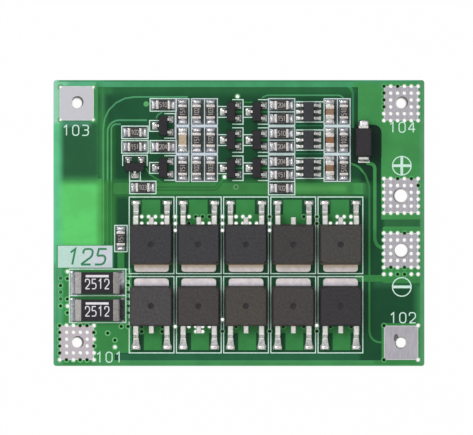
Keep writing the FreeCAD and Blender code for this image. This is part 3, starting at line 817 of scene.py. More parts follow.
def make_lands():
    """The tinned squares on both sides, with a brighter rim, a painted shadow at one edge of each hole and,
    on one, a small pit painted as shadow.
    """
    for prefix in ("tap_lands", "load_lands"):
        shape = Shape()
        for terminal, (node, _, _, _, rows, *_), (shadow_x, shadow_y) in zip(terminals, TERMINALS, HOLE_SHADOWS):
            if node != prefix:
                continue
            x, y, half, hole, vias = terminal
            layers = [("rim", square(x, y, half)), ("land", square(x, y, half - RIM_WIDTH))]
            if not rows and y < 0:
                layers.append(("pit", [(x + SHADOW_X + SHADOW_WIDE * a, y + SHADOW_Y + SHADOW_HIGH * b)
                                       for a, b in disc(0, 0, 1)]))
            layers.append(("pit", disc(x + shadow_x, y + shadow_y, hole + HOLE_COAT, HOLE_SIDES)))
            cuts = [(None, disc(x, y, hole + BARREL_WALL, HOLE_SIDES))]
            cuts += [(None, disc(via_x, via_y, (clear or VIA_RADIUS) + BARREL_WALL, VIA_SIDES))
                     for via_x, via_y, clear in vias if abs(via_y - y) < half + VIA_RADIUS]
            tops = {"land": LAND_TOP - RIM_RISE, "rim": LAND_TOP, "pit": BOARD_TOP}
            shape.relief(layers + cuts, tops, BARE_TOP, {"land": 0, "rim": 1, "pit": 2})
            shape.relief([("land", square(x, y, half))] + cuts, {"land": 0.0}, COPPER_RISE)
        make_piece(prefix + "_tinned", shape, [land_tin, rim_tin, land_painted_shadow], [prefix])


def line_hole(shape, x, y, profile, sides):
    """A wall round a hole, with the same profile of radius and height all the way round."""
    shape.loft([[(x + turn_x * radius, y + turn_y * radius, z) for radius, z in profile]
                for turn_x, turn_y in disc(0, 0, 1, sides)], ring=True)


def make_barrels():
    """Plated vias, coated wire holes, which are narrower half way down, and the closed vias' plugs."""
    barrels, plugs = Shape(), Shape()
    for vias, high in ((land_vias, LAND_TOP), (free_vias, BOARD_TOP)):
        for x, y, clear in vias:
            if clear:
                outer = clear + BARREL_WALL
                profile = ((clear, 0.0), (outer, 0.0), (outer, high), (clear, high))
                line_hole(barrels, x, y, profile, VIA_SIDES)
            else:
                plugs.plate(disc(x, y, CLOSED_RADIUS + BARREL_WALL, PLUG_SIDES), PLUG_LOW, PLUG_TOP)
    for x, y, _, hole, _ in terminals:
        outer, narrow = hole + BARREL_WALL, hole - HOLE_COAT
        profile = ((hole, LAND_TOP), (narrow, BOARD_TOP - 0.15), (narrow, 0.3), (hole, 0.0), (outer, 0.0),
                   (outer, LAND_TOP))
        line_hole(barrels, x, y, profile, HOLE_SIDES)
    make_piece("plated_barrels", barrels, [barrel_tin])
    make_piece("via_plugs", plugs, [mask_plug])


# Digits, drawn in a box 0.6 wide and 1 high, as strokes with a corner radius and whether each is closed
DIGIT_WIDTH = 0.6
DIGITS = {
    "0": [([(0, 0), (0.6, 0), (0.6, 1), (0, 1)], 0.28, True)],
    "1": [([(0.08, 0.78), (0.34, 1.0), (0.34, 0.0)], 0.0, False)],
    "2": [([(0, 0.7), (0, 1), (0.6, 1), (0.6, 0.52), (0.02, 0.03)], 0.28, False),
          ([(0, 0), (0.62, 0)], 0.0, False)],
    "3": [([(0.02, 1), (0.6, 1), (0.6, 0.53), (0.2, 0.53)], 0.22, False),
          ([(0.2, 0.53), (0.6, 0.53), (0.6, 0), (0, 0)], 0.25, False)],
    "4": [([(0.45, 0), (0.45, 1)], 0.0, False), ([(0.42, 0.97), (0, 0.34)], 0.0, False),
          ([(-0.05, 0.3), (0.64, 0.3)], 0.0, False)],
    "5": [([(0.56, 1), (0.06, 1), (0.04, 0.56)], 0.0, False),
          ([(0.04, 0.56), (0.6, 0.6), (0.6, 0), (0, 0)], 0.25, False)],
}


def stroke(points, width, closed=False):
    """Outlines that cover a line of some width; a closed one is covered in two halves."""
    if not closed:
        return [band(points, width)]
    half = len(points) // 2
    return [band(points[:half + 1], width), band(points[half:] + points[:1], width)]


def number_layers(tag, text, height, weight, x=0.0, y=0.0, gap=0.35, slant=0.0, narrow=1.0):
    """A plain number whose middle stands on a point."""
    advance = DIGIT_WIDTH * narrow + gap
    width = len(text) * advance - gap
    layers = []
    for place, digit in enumerate(text):
        for points, radius, closed in DIGITS[digit]:
            line = rounded(points, radius, closed) if radius else points
            line = [((u * narrow + place * advance - width / 2 + slant * (v - 0.5)) * height + x,
                     (v - 0.5) * height + y) for u, v in line]
            layers += [(tag, outline) for outline in stroke(line, weight, closed)]
    return layers


def number_shape(text, height, weight, low, high, **spacing):
    return Shape().relief(number_layers("ink", text, height, weight, **spacing), {"ink": high}, low)


def line_layers(points, width=INK_WIDTH, closed=False):
    return [("ink", outline) for outline in stroke(points, width, closed)]


def frame_layers(left, right, bottom, top):
    """Four printed lines round a part."""
    half = INK_WIDTH / 2
    lines = [(left - half, right + half, y - half, y + half) for y in (bottom, top)]
    lines += [(x - half, x + half, bottom - half, top + half) for x in (left, right)]
    return [("ink", rectangle(*line)) for line in lines]


# Places of the small parts, which are read from the frame

def case_places(cases, leads):
    """Each small case as its centre, half size along x and y, and the steps to its leads."""
    found = []
    feet = [(low + high) / 2 for low, high in solids(leads)]
    for low, high in solids(cases):
        centre, half = (low + high) / 2, (high - low) / 2
        steps = [(foot - centre).to_2d() for foot in feet]
        near = [tuple(step) for step in steps if abs(step.x) < half.x + 1.0 and abs(step.y) < half.y + 1.0]
        found.append((centre.x, centre.y, half.x, half.y, near))
    return found


def chip_places(node):
    """Each chip as its centre and whether it lies along x."""
    return [((low.x + high.x) / 2, (low.y + high.y) / 2, high.x - low.x > high.y - low.y)
            for low, high in solids(node)]


CHANNELS = 3
GROUPS = [f"channel_{n + 1}" for n in range(CHANNELS)] + ["control"]
resistor_nodes = {group: group + "_resistor_bodies" for group in GROUPS}
resistor_nodes["gate"] = "gate_resistor_body"
resistor_places = {group: chip_places(node) for group, node in resistor_nodes.items()}
capacitor_places = {group: chip_places(group + "_capacitor_bodies") for group in GROUPS[:CHANNELS]}
transistor_places = {group: case_places(group + "_transistor_cases", group + "_transistor_leads")
                     for group in GROUPS}
ic_places = {group: case_places(group + "_ic_case", group + "_ic_leads") for group in GROUPS[:CHANNELS]}

# Left and right lines of the frames round the upright chips
COLUMN_FRAMES = ((-9.34, -7.42), (-7.04, -5.1), (-5.1, -3.19), (12.63, 14.6), (14.6, 16.49), (-18.42, -16.57))
PAIR_FRAME = (4.38, 8.28)
# Heights of the broad lines between one chip and the next, and half their width
ROW_GAPS = (14.39, 10.21)
ROW_LINE = 0.14
# Brackets of a three-lead case: start, end and half width, toward its single lead
BRACKETS = ((0.16, 1.77, 1.82), (-0.5, -2.03, 0.8))


def chip_boxes():
    """The frame of each chip: left, right, bottom, top."""
    boxes = []
    for group, places in list(resistor_places.items()) + list(capacitor_places.items()):
        for x, y, along_x in places:
            if along_x:
                reach = PAIR_REACH if group in GROUPS[:CHANNELS] else FRAME_REACH
                boxes.append((x - FRAME_LENGTH, x + FRAME_LENGTH, y - reach, y + reach))
            else:
                left, right = [pair for pair in COLUMN_FRAMES if pair[0] < x < pair[1]][0]
                boxes.append((left, right, y - FRAME_LENGTH, y + FRAME_LENGTH))
    return boxes


def transistor_frames():
    """Two brackets round each three-lead case, and a line above and below each six-lead case."""
    lines = []
    for places in transistor_places.values():
        for x, y, _, _, feet in places:
            toward = Vector([sum(step[axis] for step in feet) for axis in (0, 1)]).normalized()
            across = Vector((-toward.y, toward.x))
            for near, far, reach in BRACKETS:
                corners = ((near, reach), (far, reach), (far, -reach), (near, -reach))
                points = [toward * out + across * aside for out, aside in corners]
                lines.append([(x + point.x, y + point.y) for point in points])
    for places in ic_places.values():
        for x, y, *_ in places:
            lines += [[(x - 1.9, line_y), (x + 2.31, line_y)] for line_y in (y - 1.5, y + 1.5)]
    return [layer for line in lines for layer in line_layers(line)]


# Half width of a power transistor's frame, and bottom and top of the frames of both rows and of the shunts
FET_FRAME = 3.32
UPPER_FRAME = (-7.5, 3.86)
LOWER_FRAME = (-19.26, -7.94)
SHUNT_FRAMES = ((-14.77, -10.76), (-10.76, -6.83))
SHUNT_LEFT, SHUNT_RIGHT = -25.14, -16.76
# The broken left line of the first lower frame: top of its first dash, number of dashes and their length
DASH_TOP, DASHES, DASH = -8.5, 7, 0.55


def power_frames():
    """Frames of the power transistors and shunts; vias break the left line of the first lower one."""
    layers = []
    for x in FET_X:
        layers += frame_layers(x - FET_FRAME, x + FET_FRAME, *UPPER_FRAME)
        if x > FET_X[0]:
            layers += frame_layers(x - FET_FRAME, x + FET_FRAME, *LOWER_FRAME)
    left, right = FET_X[0] - FET_FRAME, FET_X[0] + FET_FRAME
    bottom, top = LOWER_FRAME
    layers += line_layers([(left, -15.6), (left, bottom), (right, bottom), (right, top), (left - 0.1, top)])
    for step in range(DASHES):
        y = DASH_TOP - step * VIA_STEP
        layers += line_layers([(left, y), (left, y - DASH)])
    for shunt_frame in SHUNT_FRAMES:
        layers += frame_layers(SHUNT_LEFT, SHUNT_RIGHT, *shunt_frame)
    return layers


# Signs beside the load lands: radius, width of a bar, and height of the plus and of the minus
SIGN_RADIUS, SIGN_BAR = 1.38, 0.4
PLUS_Y, MINUS_Y = 8.5, -9.47


def polarity_signs():
    """A circle with a plus and a circle with a minus beside the two load lands."""
    x = terminals[-1][0] + 0.1
    layers = []
    for y in (PLUS_Y, MINUS_Y):
        layers += line_layers(disc(x, y, SIGN_RADIUS, HOLE_SIDES), SIGN_WIDTH, closed=True)
        layers += line_layers([(x - SIGN_RADIUS, y), (x + SIGN_RADIUS, y)], SIGN_BAR)
        if y == PLUS_Y:
            layers += line_layers([(x, y - SIGN_RADIUS), (x, y + SIGN_RADIUS)], SIGN_BAR)
    return layers


# Numbers beside the tap terminals: text, centre
LABELS = (("103", -24.2, 13.75), ("104", 24.2, 14.2), ("101", -19.25, -19.9), ("102", 24.3, -14.05))
LABEL_HEIGHT = 1.5
RATING_BLOCK = (-26.85, -18.76, -6.62, -3.36)


def make_print():
    # The white block with a number left clear in it comes first, so that the number cuts nothing else
    layers = [("block", rectangle(*RATING_BLOCK))]
    layers += number_layers(None, "125", height=2.3, weight=0.3, x=-22.5, y=-5.0, gap=0.3, slant=0.2)
    for box in chip_boxes():
        layers += frame_layers(*box)
    for left, right in COLUMN_FRAMES[:5] + (PAIR_FRAME,):
        layers += [("ink", rectangle(left, right, y - ROW_LINE, y + ROW_LINE)) for y in ROW_GAPS]
    layers += transistor_frames() + power_frames() + polarity_signs()
    for text, x, y in LABELS:
        layers += number_layers("ink", text, LABEL_HEIGHT, SIGN_WIDTH, x, y)
    shape = Shape().relief(layers + hole_layers(), {"ink": INK_TOP, "block": INK_TOP}, BARE_TOP,
                           {"ink": 0, "block": 1})
    make_piece("white_print", shape, [ink_white, ink_block])


# Bars and solder

def bar(length, width, height, ease, low=0.0):
    """A bar along x with eased edges, standing on low."""
    start = [(-length / 2, ease), (-length / 2 + ease * 0.3, ease * 0.3), (-length / 2 + ease, 0.0)]
    loops = []
    for x, inset in start + [(-x, inset) for x, inset in start[::-1]]:
        section = rectangle(-width / 2 + inset, width / 2 - inset, low + inset, low + height - inset,
                            max(ease - inset, 0.01))
        loops.append([(x, y, z) for y, z in section])
    return Shape().loft(loops)


# Steps between the inner and the outer edge of a pool of solder, and its height at the outer one
POOL_STEPS = [(step / 4) ** 1.5 for step in range(5)]
POOL_EDGE = 0.03


def fillet(inner, outer, height, finish, hollow=1.3):
    """A pool of solder: full height over the inner rectangle, hollowing out to the outer one."""
    columns, rows = [], []
    for line, axis in ((columns, 0), (rows, 2)):
        low_in, high_in, low_out, high_out = *inner[axis:axis + 2], *outer[axis:axis + 2]
        line += [(low_in + (low_out - low_in) * away, away) for away in POOL_STEPS[::-1]]
        line += [(high_in + (high_out - high_in) * away, away) for away in POOL_STEPS]
    loops = []
    for x, away_x in columns:
        steps = [(y, 1 - min(1.0, math.hypot(away_x, away_y))) for y, away_y in rows]
        loop = [(x, y, POOL_EDGE + (height - POOL_EDGE) * near ** hollow) for y, near in steps]
        loops.append(loop + [(x, y, 0.0) for y, _ in rows[::-1]])
    return Shape().loft(loops, finish)


def skirt(start, tip, narrow, wide, height, flare, finish):
    """Solder that climbs over a lead's end and widens to its tip; flare is the share its top widens by."""
    loops = []
    for share, rise in ((0.0, 0.7), (0.2, 0.98), (0.45, 1.0), (0.7, 1.0), (1.0, 1.0)):
        y = start + (tip - start) * share
        spread = (wide - narrow) * share ** 1.5
        half = narrow + 0.04 + spread
        crown = narrow + flare * spread
        loops.append([(-half, y, 0.0), (half, y, 0.0), (crown, y, rise * height), (-crown, y, rise * height)])
    return Shape().loft(loops, finish)


def pillow(x, y, half_x, half_y, height, finish):
    """A rounded drop of solder over a rectangle."""
    steps = [(step, (1 - abs(step) ** 3) ** 0.5) for step in (-1.0, -0.85, -0.5, 0.0, 0.5, 0.85, 1.0)]
    loops = []
    for u, rise_x in steps:
        at = x + u * half_x
        loop = [(at, y + v * half_y, max(0.02, height * rise_x * rise_y)) for v, rise_y in steps]
        loops.append(loop + [(at, y + half_y, 0.0), (at, y - half_y, 0.0)])
    return Shape().loft(loops, finish)


def mound(left, right, bottom, top, radius, height, finish):
    """A mound of solder with a rounded plan."""
    loops = []
    for inset, rise in ((0.0, 0.0), (0.0, 0.1), (0.06, 0.45), (0.15, 0.75), (0.28, 0.94), (0.45, 1.0)):
        outline = rectangle(left + inset, right - inset, bottom + inset, top - inset,
                            max(0.1, radius - inset))
        loops.append([(*point, rise * height) for point in outline])
    return Shape().loft(loops, finish)


def along(x, y, along_x, angle=0.0):
    return turned(x, y, BOARD_TOP, angle if along_x else angle + 90.0)


# The finishes of the solder, in the order that its piece has them in: lit and shaded copies of one solder,
# bright, half shaded and shaded as painted shade, and a glint as painted highlight
BRIGHT, HALF_SHADED, SHADED, GLINT = 0, 1, 2, 3
RESISTOR_HEIGHT = 0.5
RESISTOR_END = 0.3
CAPACITOR_HEIGHT = 0.9
CAPACITOR_END, TAN_END = 0.56, 0.3
GLAZE_LENGTH = 1.36
NUMBERS = ("102", "103", "510", "204", "151")
# Solder of a chip: its inner and outer rectangle
CHIP_POOL = ((0.72, CHIP_LENGTH / 2, -0.58, 0.58), (0.66, 1.76, -0.7, 0.7))
# Drops at the outer edge of a chip's solder, in the glint finish as painted highlight: places along and
# across the chip, and half sizes
GLINTS = ((1.5, 0.0, 0.24, 0.56), (1.52, 0.08, 0.2, 0.46), (1.46, -0.05, 0.26, 0.52), (1.5, 0.02, 0.22, 0.6))
GLINT_HEIGHT = 0.24


def stamp_ends(ends, pools, end, joint, x, y, along_x, reach, drops=True):
    """Both ends of a bar, the solder at each, and a drop on it that differs from its neighbours'."""
    for side in (0.0, 180.0):
        place = along(x, y, along_x, side)
        ends.stamp(end, place @ Matrix.Translation((reach, 0, 0)))
        pools.stamp(joint, place)
        if drops:
            choice = round(abs(x * 3.1 + y * 5.3) + side / 180.0) % len(GLINTS)
            pools.stamp(pillow(*GLINTS[choice], GLINT_HEIGHT, GLINT), place)


def make_resistors(pools):
    """Chip resistors: white ceramic under a dark glaze with a number on it, and tinned ends."""
    body = bar(CHIP_LENGTH - 2 * END_WALL, CHIP_WIDTH - 0.02, RESISTOR_HEIGHT - 0.03, ease=0.02, low=0.01)
    glaze = bar(GLAZE_LENGTH, CHIP_WIDTH - 0.03, 0.05, ease=0.02, low=RESISTOR_HEIGHT - 0.03)
    end = bar(RESISTOR_END, CHIP_WIDTH, RESISTOR_HEIGHT, ease=0.04)
    marks = [number_shape(number, height=0.68, weight=0.105, low=RESISTOR_HEIGHT + 0.01,
                          high=RESISTOR_HEIGHT + 0.03, gap=0.16, narrow=0.72) for number in NUMBERS]
    joint = fillet(*CHIP_POOL, height=0.44, finish=SHADED)
    for group, places in resistor_places.items():
        bodies, glazes, ends, prints = Shape(), Shape(), Shape(), Shape()
        for count, (x, y, along_x) in enumerate(places):
            place = along(x, y, along_x)
            bodies.stamp(body, place)
            glazes.stamp(glaze, place)
            prints.stamp(marks[(count + len(group)) % len(marks)], place)
            stamp_ends(ends, pools, end, joint, x, y, along_x, (CHIP_LENGTH - RESISTOR_END) / 2)
        prefix = group + "_resistor_"
        make_piece(prefix + "ceramic", bodies, [ceramic_white], [resistor_nodes[group]])
        make_piece(prefix + "glaze", glazes, [glaze_black])
        make_piece(prefix + "numbers", prints, [ink_chip])
        make_piece(prefix + "end_caps", ends, [end_tin], [prefix + "ends"])


def make_capacitors(pools):
    """Chip capacitors: brown ceramic between two wrapped ends; one stands in the first column and is tan."""
    joint = fillet(*CHIP_POOL, height=0.42, finish=HALF_SHADED)
    body = bar(CHIP_LENGTH - 0.2, CHIP_WIDTH - 0.1, CAPACITOR_HEIGHT - 0.06, ease=0.06, low=0.02)
    for group, places in capacitor_places.items():
        bodies, ends = Shape(), Shape()
        for x, y, along_x in places:
            tan = x < 0
            bodies.add([along(x, y, along_x) @ point for point in body.points], body.faces,
                       [int(tan)] * len(body.faces))
            length = TAN_END if tan else CAPACITOR_END
            end = bar(length, CHIP_WIDTH, CAPACITOR_HEIGHT, ease=0.09)
            stamp_ends(ends, pools, end, joint, x, y, along_x, (CHIP_LENGTH - length) / 2)
        prefix = group + "_capacitor_"
        make_piece(prefix + "ceramic", bodies, [capacitor_brown, capacitor_tan],
                   [prefix + "bodies"])
        make_piece(prefix + "end_caps", ends, [end_tin], [prefix + "ends"])


# Shunts

SHUNT_LENGTH, SHUNT_WIDTH, SHUNT_HEIGHT = 6.4, 3.2, 0.75
SHUNT_END = 0.85
SHUNT_COAT = 4.66
# The line over a shunt's number: half length, bottom and top
SHUNT_LINE = (1.7, 0.85, 1.19)


def make_shunts(pools):
    wall = SHUNT_LENGTH / 2
    joint = fillet((wall - 0.5, wall, -1.5, 1.5), (wall - 0.6, wall + 0.8, -1.8, 1.8), height=0.5,
                   finish=SHADED)
    body = bar(SHUNT_LENGTH - 0.2, SHUNT_WIDTH - 0.04, SHUNT_HEIGHT - 0.04, ease=0.04, low=0.01)
    coat = bar(SHUNT_COAT, SHUNT_WIDTH - 0.06, 0.08, ease=0.03, low=SHUNT_HEIGHT - 0.06)
    end = bar(SHUNT_END, SHUNT_WIDTH, SHUNT_HEIGHT, ease=0.08)
    print_low, print_high = SHUNT_HEIGHT + 0.01, SHUNT_HEIGHT + 0.035
    half, bottom, top = SHUNT_LINE
    mark = Shape().loft([[(*point, z) for point in rectangle(-half, half, bottom, top)]
                         for z in (print_low, print_high)])
    digits = number_shape("2512", height=1.42, weight=0.15, low=print_low, high=print_high, gap=0.24,
                          narrow=0.72)
    mark.stamp(digits, Matrix.Translation((0, -0.14, 0)))
    for number in (1, 2):
        (x, y, _), _ = box_of(f"shunt_body_{number}")
        place = along(x, y, True)
        ends = Shape()
        stamp_ends(ends, pools, end, joint, x, y, True, (SHUNT_LENGTH - SHUNT_END) / 2, drops=False)
        prefix = f"shunt_{number}_"
        make_piece(prefix + "bar", Shape().stamp(body, place), [shunt_black],
                   [f"shunt_body_{number}"])
        make_piece(prefix + "coat", Shape().stamp(coat, place), [shunt_black])
        make_piece(prefix + "number", Shape().stamp(mark, place), [ink_bright])
        make_piece(prefix + "end_caps", ends, [shunt_tin], [f"shunt_terminals_{number}"])


# Moulded cases and bent leads

# Half the height of the gap line that runs round a case, and the turns of its eased top edge in degrees
PARTING_LINE = 0.02
EASE_TURNS = (0, 30, 60, 90)
# Shares of a dimple's radius, and depths there
DIMPLE_STEPS = ((1.0, 0.0), (0.85, 0.05), (0.6, 0.1))


def moulded_case(width, length, low, high, parting, draft, ease, corner, cut=0.0, dimple=0.0):
    """A case centred on the origin: drafted both ways from its parting line, with eased top edges.

    cut takes off the two corners at -y, and dimple is the radius of a shallow mark in the top.
    """
    def outline(inset):
        x, y = width / 2 - inset, length / 2 - inset
        lower = [(-x, -y + cut), (-x + cut, -y), (x - cut, -y), (x, -y + cut)] if cut else [(-x, -y), (x, -y)]
        return rounded([(x, y), (-x, y)] + lower, corner, closed=True)

    fall = math.tan(math.radians(draft))
    steps = [(low, (parting - low) * fall), (parting - PARTING_LINE, 0.0), (parting + PARTING_LINE, 0.0)]
    for angle in map(math.radians, EASE_TURNS):
        steps.append((high - ease + ease * math.sin(angle),
                      (high - ease - parting) * fall + ease * (1 - math.cos(angle))))
    loops = [[(*point, z) for point in outline(inset)] for z, inset in steps]
    if not dimple:
        return Shape().loft(loops)
    count = len(loops[0])
    start = math.atan2(loops[0][0][1], loops[0][0][0])
    turns = [start + math.tau * i / count for i in range(count)]
    for share, depth in DIMPLE_STEPS:
        loops.append([(dimple * share * math.cos(turn), dimple * share * math.sin(turn), high - depth)
                      for turn in turns])
    shape = Shape().loft(loops)
    # The dimple's floor is the last face, and its inner wall the last ring before the two end faces; both
    # take the darker finish, painted shade in the dimple
    wall = len(shape.faces) - 2
    for face in (wall + 1, *range(wall - count, wall)):
        shape.finishes[face] = 1
    return shape


def strap(path, radius, width, thickness, ease):
    """A bent strip along a path of y and z, centred on x, with eased long edges."""
    line = rounded(path, radius) if radius else path
    side = width / 2
    loops = []
    for top, bottom in zip(beside(line, thickness / 2), beside(line, -thickness / 2)):
        top, bottom = Vector(top), Vector(bottom)
        slip = (bottom - top).normalized() * ease
        loop = [(-side + ease, top), (side - ease, top), (side, top + slip), (side, bottom - slip),
                (side - ease, bottom), (-side + ease, bottom), (-side, bottom - slip), (-side, top + slip)]
        loops.append([(x, point.x, point.y) for x, point in loop])
    return Shape().loft(loops)


# Small cases with gull-wing leads, above the board
SMALL_TOP, SMALL_STANDOFF, SMALL_LEVEL, SMALL_LENGTH = 1.1, 0.05, 0.47, 2.9
SMALL_THICKNESS = 0.13
SMALL_REACH, SMALL_FOOT, SMALL_RUN, SMALL_WIDTH = 0.55, 0.32, 0.08, 0.4
# Joints of their leads: half width at the lead and at the edge, reach inwards and outwards, and height
PAIRED_JOINT = (0.22, 0.44, 0.1, 0.27, 0.26)
SINGLE_JOINT = (0.24, 0.52, 0.16, 0.42, 0.26)
IC_JOINT = (0.18, 0.3, 0.12, 0.5, 0.2)
# Kind, ending of its case nodes, places, half width, and the joints of an outer lead and of a middle one
SMALL_CASES = (
    ("_transistor", "_cases", transistor_places, 0.65, PAIRED_JOINT, SINGLE_JOINT),
    ("_ic", "_case", ic_places, 0.8, IC_JOINT, IC_JOINT),
)


def foot_joint(tip, narrow, wide, inward, outward, height):
    heel = tip - SMALL_FOOT
    return fillet((-narrow, narrow, heel + 0.02, tip), (-wide, wide, heel - inward, tip + outward), height,
                  HALF_SHADED)


def make_small_cases(pools):
    """Three-lead and six-lead cases with gull-wing leads."""
    for kind, ending, places_by_group, half, row_joint, middle_joint in SMALL_CASES:
        case = moulded_case(2 * half, SMALL_LENGTH, SMALL_STANDOFF, SMALL_TOP,
                            parting=SMALL_LEVEL + SMALL_THICKNESS, draft=7.0, ease=0.1, corner=0.08)
        level = SMALL_LEVEL + SMALL_THICKNESS / 2
        tip = half + SMALL_REACH
        heel = tip - SMALL_FOOT
        lead = strap([(half - 0.2, level), (heel - SMALL_RUN, level), (heel, SMALL_THICKNESS / 2),
                      (tip, SMALL_THICKNESS / 2)], radius=0.1, width=SMALL_WIDTH, thickness=SMALL_THICKNESS,
                     ease=0.02)
        in_row, in_middle = foot_joint(tip, *row_joint), foot_joint(tip, *middle_joint)
        for group, places in places_by_group.items():
            cases, leads = Shape(), Shape()
            for x, y, half_x, half_y, feet in places:
                upright = half_y > half_x
                cases.stamp(case, turned(x, y, BOARD_TOP, 0.0 if upright else 90.0))
                for step_x, step_y in feet:
                    if upright:
                        place = turned(x, y + step_y, BOARD_TOP, -90.0 if step_x > 0 else 90.0)
                    else:
                        place = turned(x + step_x, y, BOARD_TOP, 0.0 if step_y > 0 else 180.0)
                    leads.stamp(lead, place)
                    pools.stamp(in_middle if min(abs(step_x), abs(step_y)) < 0.3 else in_row, place)
            case_node, lead_node = group + kind + ending, group + kind + "_leads"
            make_piece(case_node + "_moulded", cases, [epoxy_small], [case_node])
            make_piece(lead_node + "_bent", leads, [lead_tin], [lead_node])


# How far the diode's case and its solder lie to the right of the middle of the case's box
DIODE_CASE_STEP, DIODE_JOINT_STEP = 0.06, 0.12


def make_diode(pools):
    (x, y, _), (width, length, _) = box_of("diode_case")
    wall = length / 2
    case = moulded_case(width - 0.2, length, low=0.2, high=2.1, parting=1.18, draft=14.0, ease=0.14,
                        corner=0.2)
    placed = Shape().stamp(case, turned(x + DIODE_CASE_STEP, y, BOARD_TOP))
    make_piece("diode_case_moulded", placed, [epoxy_small], ["diode_case"])
    lead = strap([(wall - 0.3, 1.1), (wall + 0.32, 1.1), (wall + 0.32, 0.08), (wall - 0.8, 0.08)],
                 radius=0.14, width=1.4, thickness=0.16, ease=0.03)
    full = mound(-0.86, 0.84, wall - 0.5, wall + 1.34, radius=0.5, height=0.9, finish=GLINT)
    lean = fillet((-0.68, 0.68, wall - 0.3, wall + 0.42), (-0.84, 0.84, wall - 0.5, wall + 0.78),
                  height=0.34, finish=BRIGHT, hollow=1.8)
    leads = Shape()
    for side, joint in ((0.0, full), (180.0, lean)):
        leads.stamp(lead, turned(x, y, BOARD_TOP, side))
        pools.stamp(joint, turned(x + DIODE_JOINT_STEP, y, BOARD_TOP, side))
    make_piece("diode_leads_bent", leads, [lead_tin], ["diode_leads"])


# Power transistors

FET_LEADS = 4.6
# Heights of a lead's middle at the case and on the board, and its thickness
LEAD_HIGH, LEAD_LOW, LEAD_THICK = 1.05, 0.25, 0.5
# How much smaller the case is than its box; along y all of it lies at the side of the leads
CASE_TRIM_X, CASE_TRIM_Y = 0.24, 0.12
TAB_HALF = 2.6
# Rows: name, turn, and its solder's half width at the tip and the share that the solder's top widens by
FET_ROWS = (("upper", 0.0, 0.62, 0.0), ("lower", 180.0, 0.68, 0.7))


def make_power_transistors(pools):
    """Each case and its frame: a broad tab, two bent leads and the cut middle one."""
    _, (width, length, height) = box_of("mosfet_upper_case_1")
    case = moulded_case(width - CASE_TRIM_X, length - CASE_TRIM_Y, low=0.0, high=height, parting=1.3,
                        draft=15.0, ease=0.1, corner=0.12, cut=0.36, dimple=0.54)
    wall = length / 2 - CASE_TRIM_Y
    lead = strap([(wall - 0.5, LEAD_HIGH), (wall + 1.17, LEAD_HIGH), (wall + 1.62, LEAD_LOW),
                  (wall + 3.12, LEAD_LOW)], radius=0.45, width=0.84, thickness=LEAD_THICK, ease=0.09)
    stub = strap([(wall - 0.5, LEAD_HIGH), (wall + 1.04, LEAD_HIGH)], radius=0.0, width=0.76,
                 thickness=LEAD_THICK, ease=0.07)
    cap = pillow(0.0, wall + 3.18, half_x=0.74, half_y=0.4, height=0.6, finish=BRIGHT)
    tab = rectangle(-TAB_HALF, TAB_HALF, -length / 2 - 1.1, wall - 1.2, 0.5)
    leadframe = Shape().plate(tab, 0.0, LEAD_THICK, ease=0.07, finish=1).stamp(stub, Matrix.Identity(4))
    sides = [Matrix.Translation((side * FET_LEADS / 2, 0, 0)) for side in (-1, 1)]
    for side in sides:
        leadframe.stamp(lead, side)
    for row, angle, wide, flare in FET_ROWS:
        joint = skirt(wall + 1.67, wall + 3.22, narrow=0.38, wide=wide, height=0.53, flare=flare, finish=HALF_SHADED)
        for number in range(1, FET_COLUMNS + 1):
            (x, y, _), _ = box_of(f"mosfet_{row}_case_{number}")
            place = turned(x, y, BOARD_TOP, angle)
            moulding = Shape().stamp(case, place @ Matrix.Translation((0, -CASE_TRIM_Y / 2, 0)))
            make_piece(f"mosfet_{row}_{number}_moulding", moulding, [epoxy, epoxy_dimple_shade],
                       [f"mosfet_{row}_case_{number}"])
            make_piece(f"mosfet_{row}_{number}_frame", Shape().stamp(leadframe, place), [lead_tin, tab_tin],
                       [f"mosfet_{row}_leadframe_{number}"])
            for side in sides:
                for pool in (joint, cap):
                    pools.stamp(pool, place @ side)


make_board()
make_lands()
make_barrels()
make_print()
solder_pools = Shape()
for make_parts in (make_resistors, make_capacitors, make_shunts, make_small_cases, make_diode,
                   make_power_transistors):
    make_parts(solder_pools)
make_piece("solder_joints", solder_pools, [solder, solder_painted_half_shade, solder_painted_shade, solder_glint],
           sharp=50.0)


# Camera, floor, world and lamps

VIEW_DISTANCE = 400.0
VIEW_X, VIEW_Y = -0.36, 0.82
LENS = 205.3


def make_camera():
    data = bpy.data.cameras.new("camera")
    data.lens = LENS
    data.sensor_width = 36.0
    data.clip_start = 0.01
    data.clip_end = 10.0
    camera = place_object("camera", data)
    camera.location = (VIEW_X * MM, VIEW_Y * MM, (BOARD_TOP + VIEW_DISTANCE) * MM)
    bpy.context.scene.camera = camera


def blend_surface(tree, factor, low, high, output):
    """Shows one shader or another by a factor."""
    blend = add_node(tree, "ShaderNodeMixShader", [(0, factor), (1, low.outputs[0]), (2, high.outputs[0])])
    fill(tree.nodes[output], [("Surface", blend.outputs[0])])


FLOOR_SIDE = 1.5
FLOOR_LEVEL = -0.02
# Share of the white that the camera sees on the floor, which leaves a faint shadow
FLOOR_GLOW = 0.97


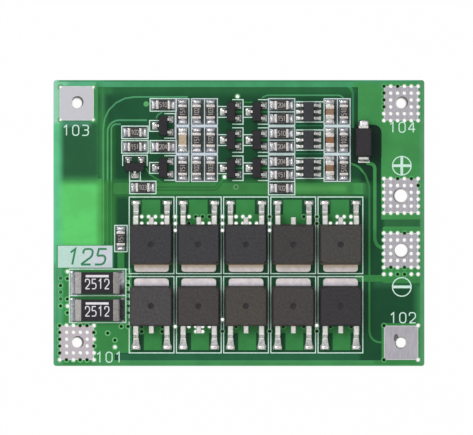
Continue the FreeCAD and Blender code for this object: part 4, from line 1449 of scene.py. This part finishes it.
def make_floor():
    """A white floor under the board that shows white and keeps a faint shadow."""
    mesh = bpy.data.meshes.new("floor")
    mesh.from_pydata([(x, y, FLOOR_LEVEL * MM) for x, y in square(0.0, 0.0, FLOOR_SIDE)], [], [(0, 1, 2, 3)])
    floor = place_object("floor", mesh)
    material = bpy.data.materials.new("white_floor")
    material.use_nodes = True
    mesh.materials.append(material)
    tree = material.node_tree
    shader = fill(tree.nodes["Principled BSDF"],
                  [("Base Color", (0.86, 0.86, 0.86, 1.0)), ("Roughness", 0.9)])
    glow = add_node(tree, "ShaderNodeEmission", [("Strength", 1.0)])
    path = add_node(tree, "ShaderNodeLightPath")
    seen = path.outputs["Is Camera Ray"]
    for name in ("Is Glossy Ray", "Is Transmission Ray"):
        either = add_node(tree, "ShaderNodeMath", [(0, seen), (1, path.outputs[name])], operation="MAXIMUM")
        seen = either.outputs[0]
    share = add_node(tree, "ShaderNodeMath", [(0, seen), (1, FLOOR_GLOW)], operation="MULTIPLY")
    blend_surface(tree, share.outputs[0], shader, glow, "Material Output")


# Brightness of the studio by height above the horizon, as sine and strength
SKY_STEPS = ((0.0, 0.03), (0.3, 0.05), (0.45, 0.95), (0.8, 1.05), (0.93, 0.72), (1.0, 0.72))
# Its strength at the left and at the right
SKY_LEFT, SKY_RIGHT = 1.25, 0.7


def make_world():
    """A dark room with a bright band high up, brighter at the left; the camera sees white."""
    world = bpy.data.worlds.new("studio")
    bpy.context.scene.world = world
    world.use_nodes = True
    tree = world.node_tree
    place = add_node(tree, "ShaderNodeTexCoord").outputs["Generated"]
    axes = add_node(tree, "ShaderNodeSeparateXYZ", [(0, place)]).outputs
    ramp = add_node(tree, "ShaderNodeValToRGB", [("Fac", axes["Z"])])
    elements = ramp.color_ramp.elements
    while len(elements) < len(SKY_STEPS):
        elements.new(1.0)
    for element, (position, level) in zip(elements, SKY_STEPS):
        element.position = position
        element.color = (level, level, level, 1.0)
    side = add_node(tree, "ShaderNodeMapRange", [("Value", axes["X"]), ("From Min", -0.7), ("From Max", 0.7),
                                                 ("To Min", SKY_LEFT), ("To Max", SKY_RIGHT)])
    light = fill(tree.nodes["Background"], [("Color", ramp.outputs["Color"]), ("Strength", side.outputs[0])])
    white = add_node(tree, "ShaderNodeBackground", [("Color", (1.0, 1.0, 1.0, 1.0))])
    path = add_node(tree, "ShaderNodeLightPath")
    blend_surface(tree, path.outputs["Is Camera Ray"], light, white, "World Output")


def make_lamp(name, place, size, power):
    """A square softbox aimed at the board."""
    data = bpy.data.lights.new(name, "AREA")
    data.size = size
    data.energy = power
    lamp = place_object(name, data)
    lamp.location = place
    lamp.rotation_euler = (-Vector(place)).to_track_quat("-Z", "Y").to_euler()


make_camera()
make_floor()
make_world()
make_lamp("key", (-0.26, 0.26, 0.36), 0.2, 0.75)
make_lamp("fill", (0.4, -0.1, 0.3), 0.25, 0.12)

bpy.context.scene.view_settings.view_transform = "Standard"
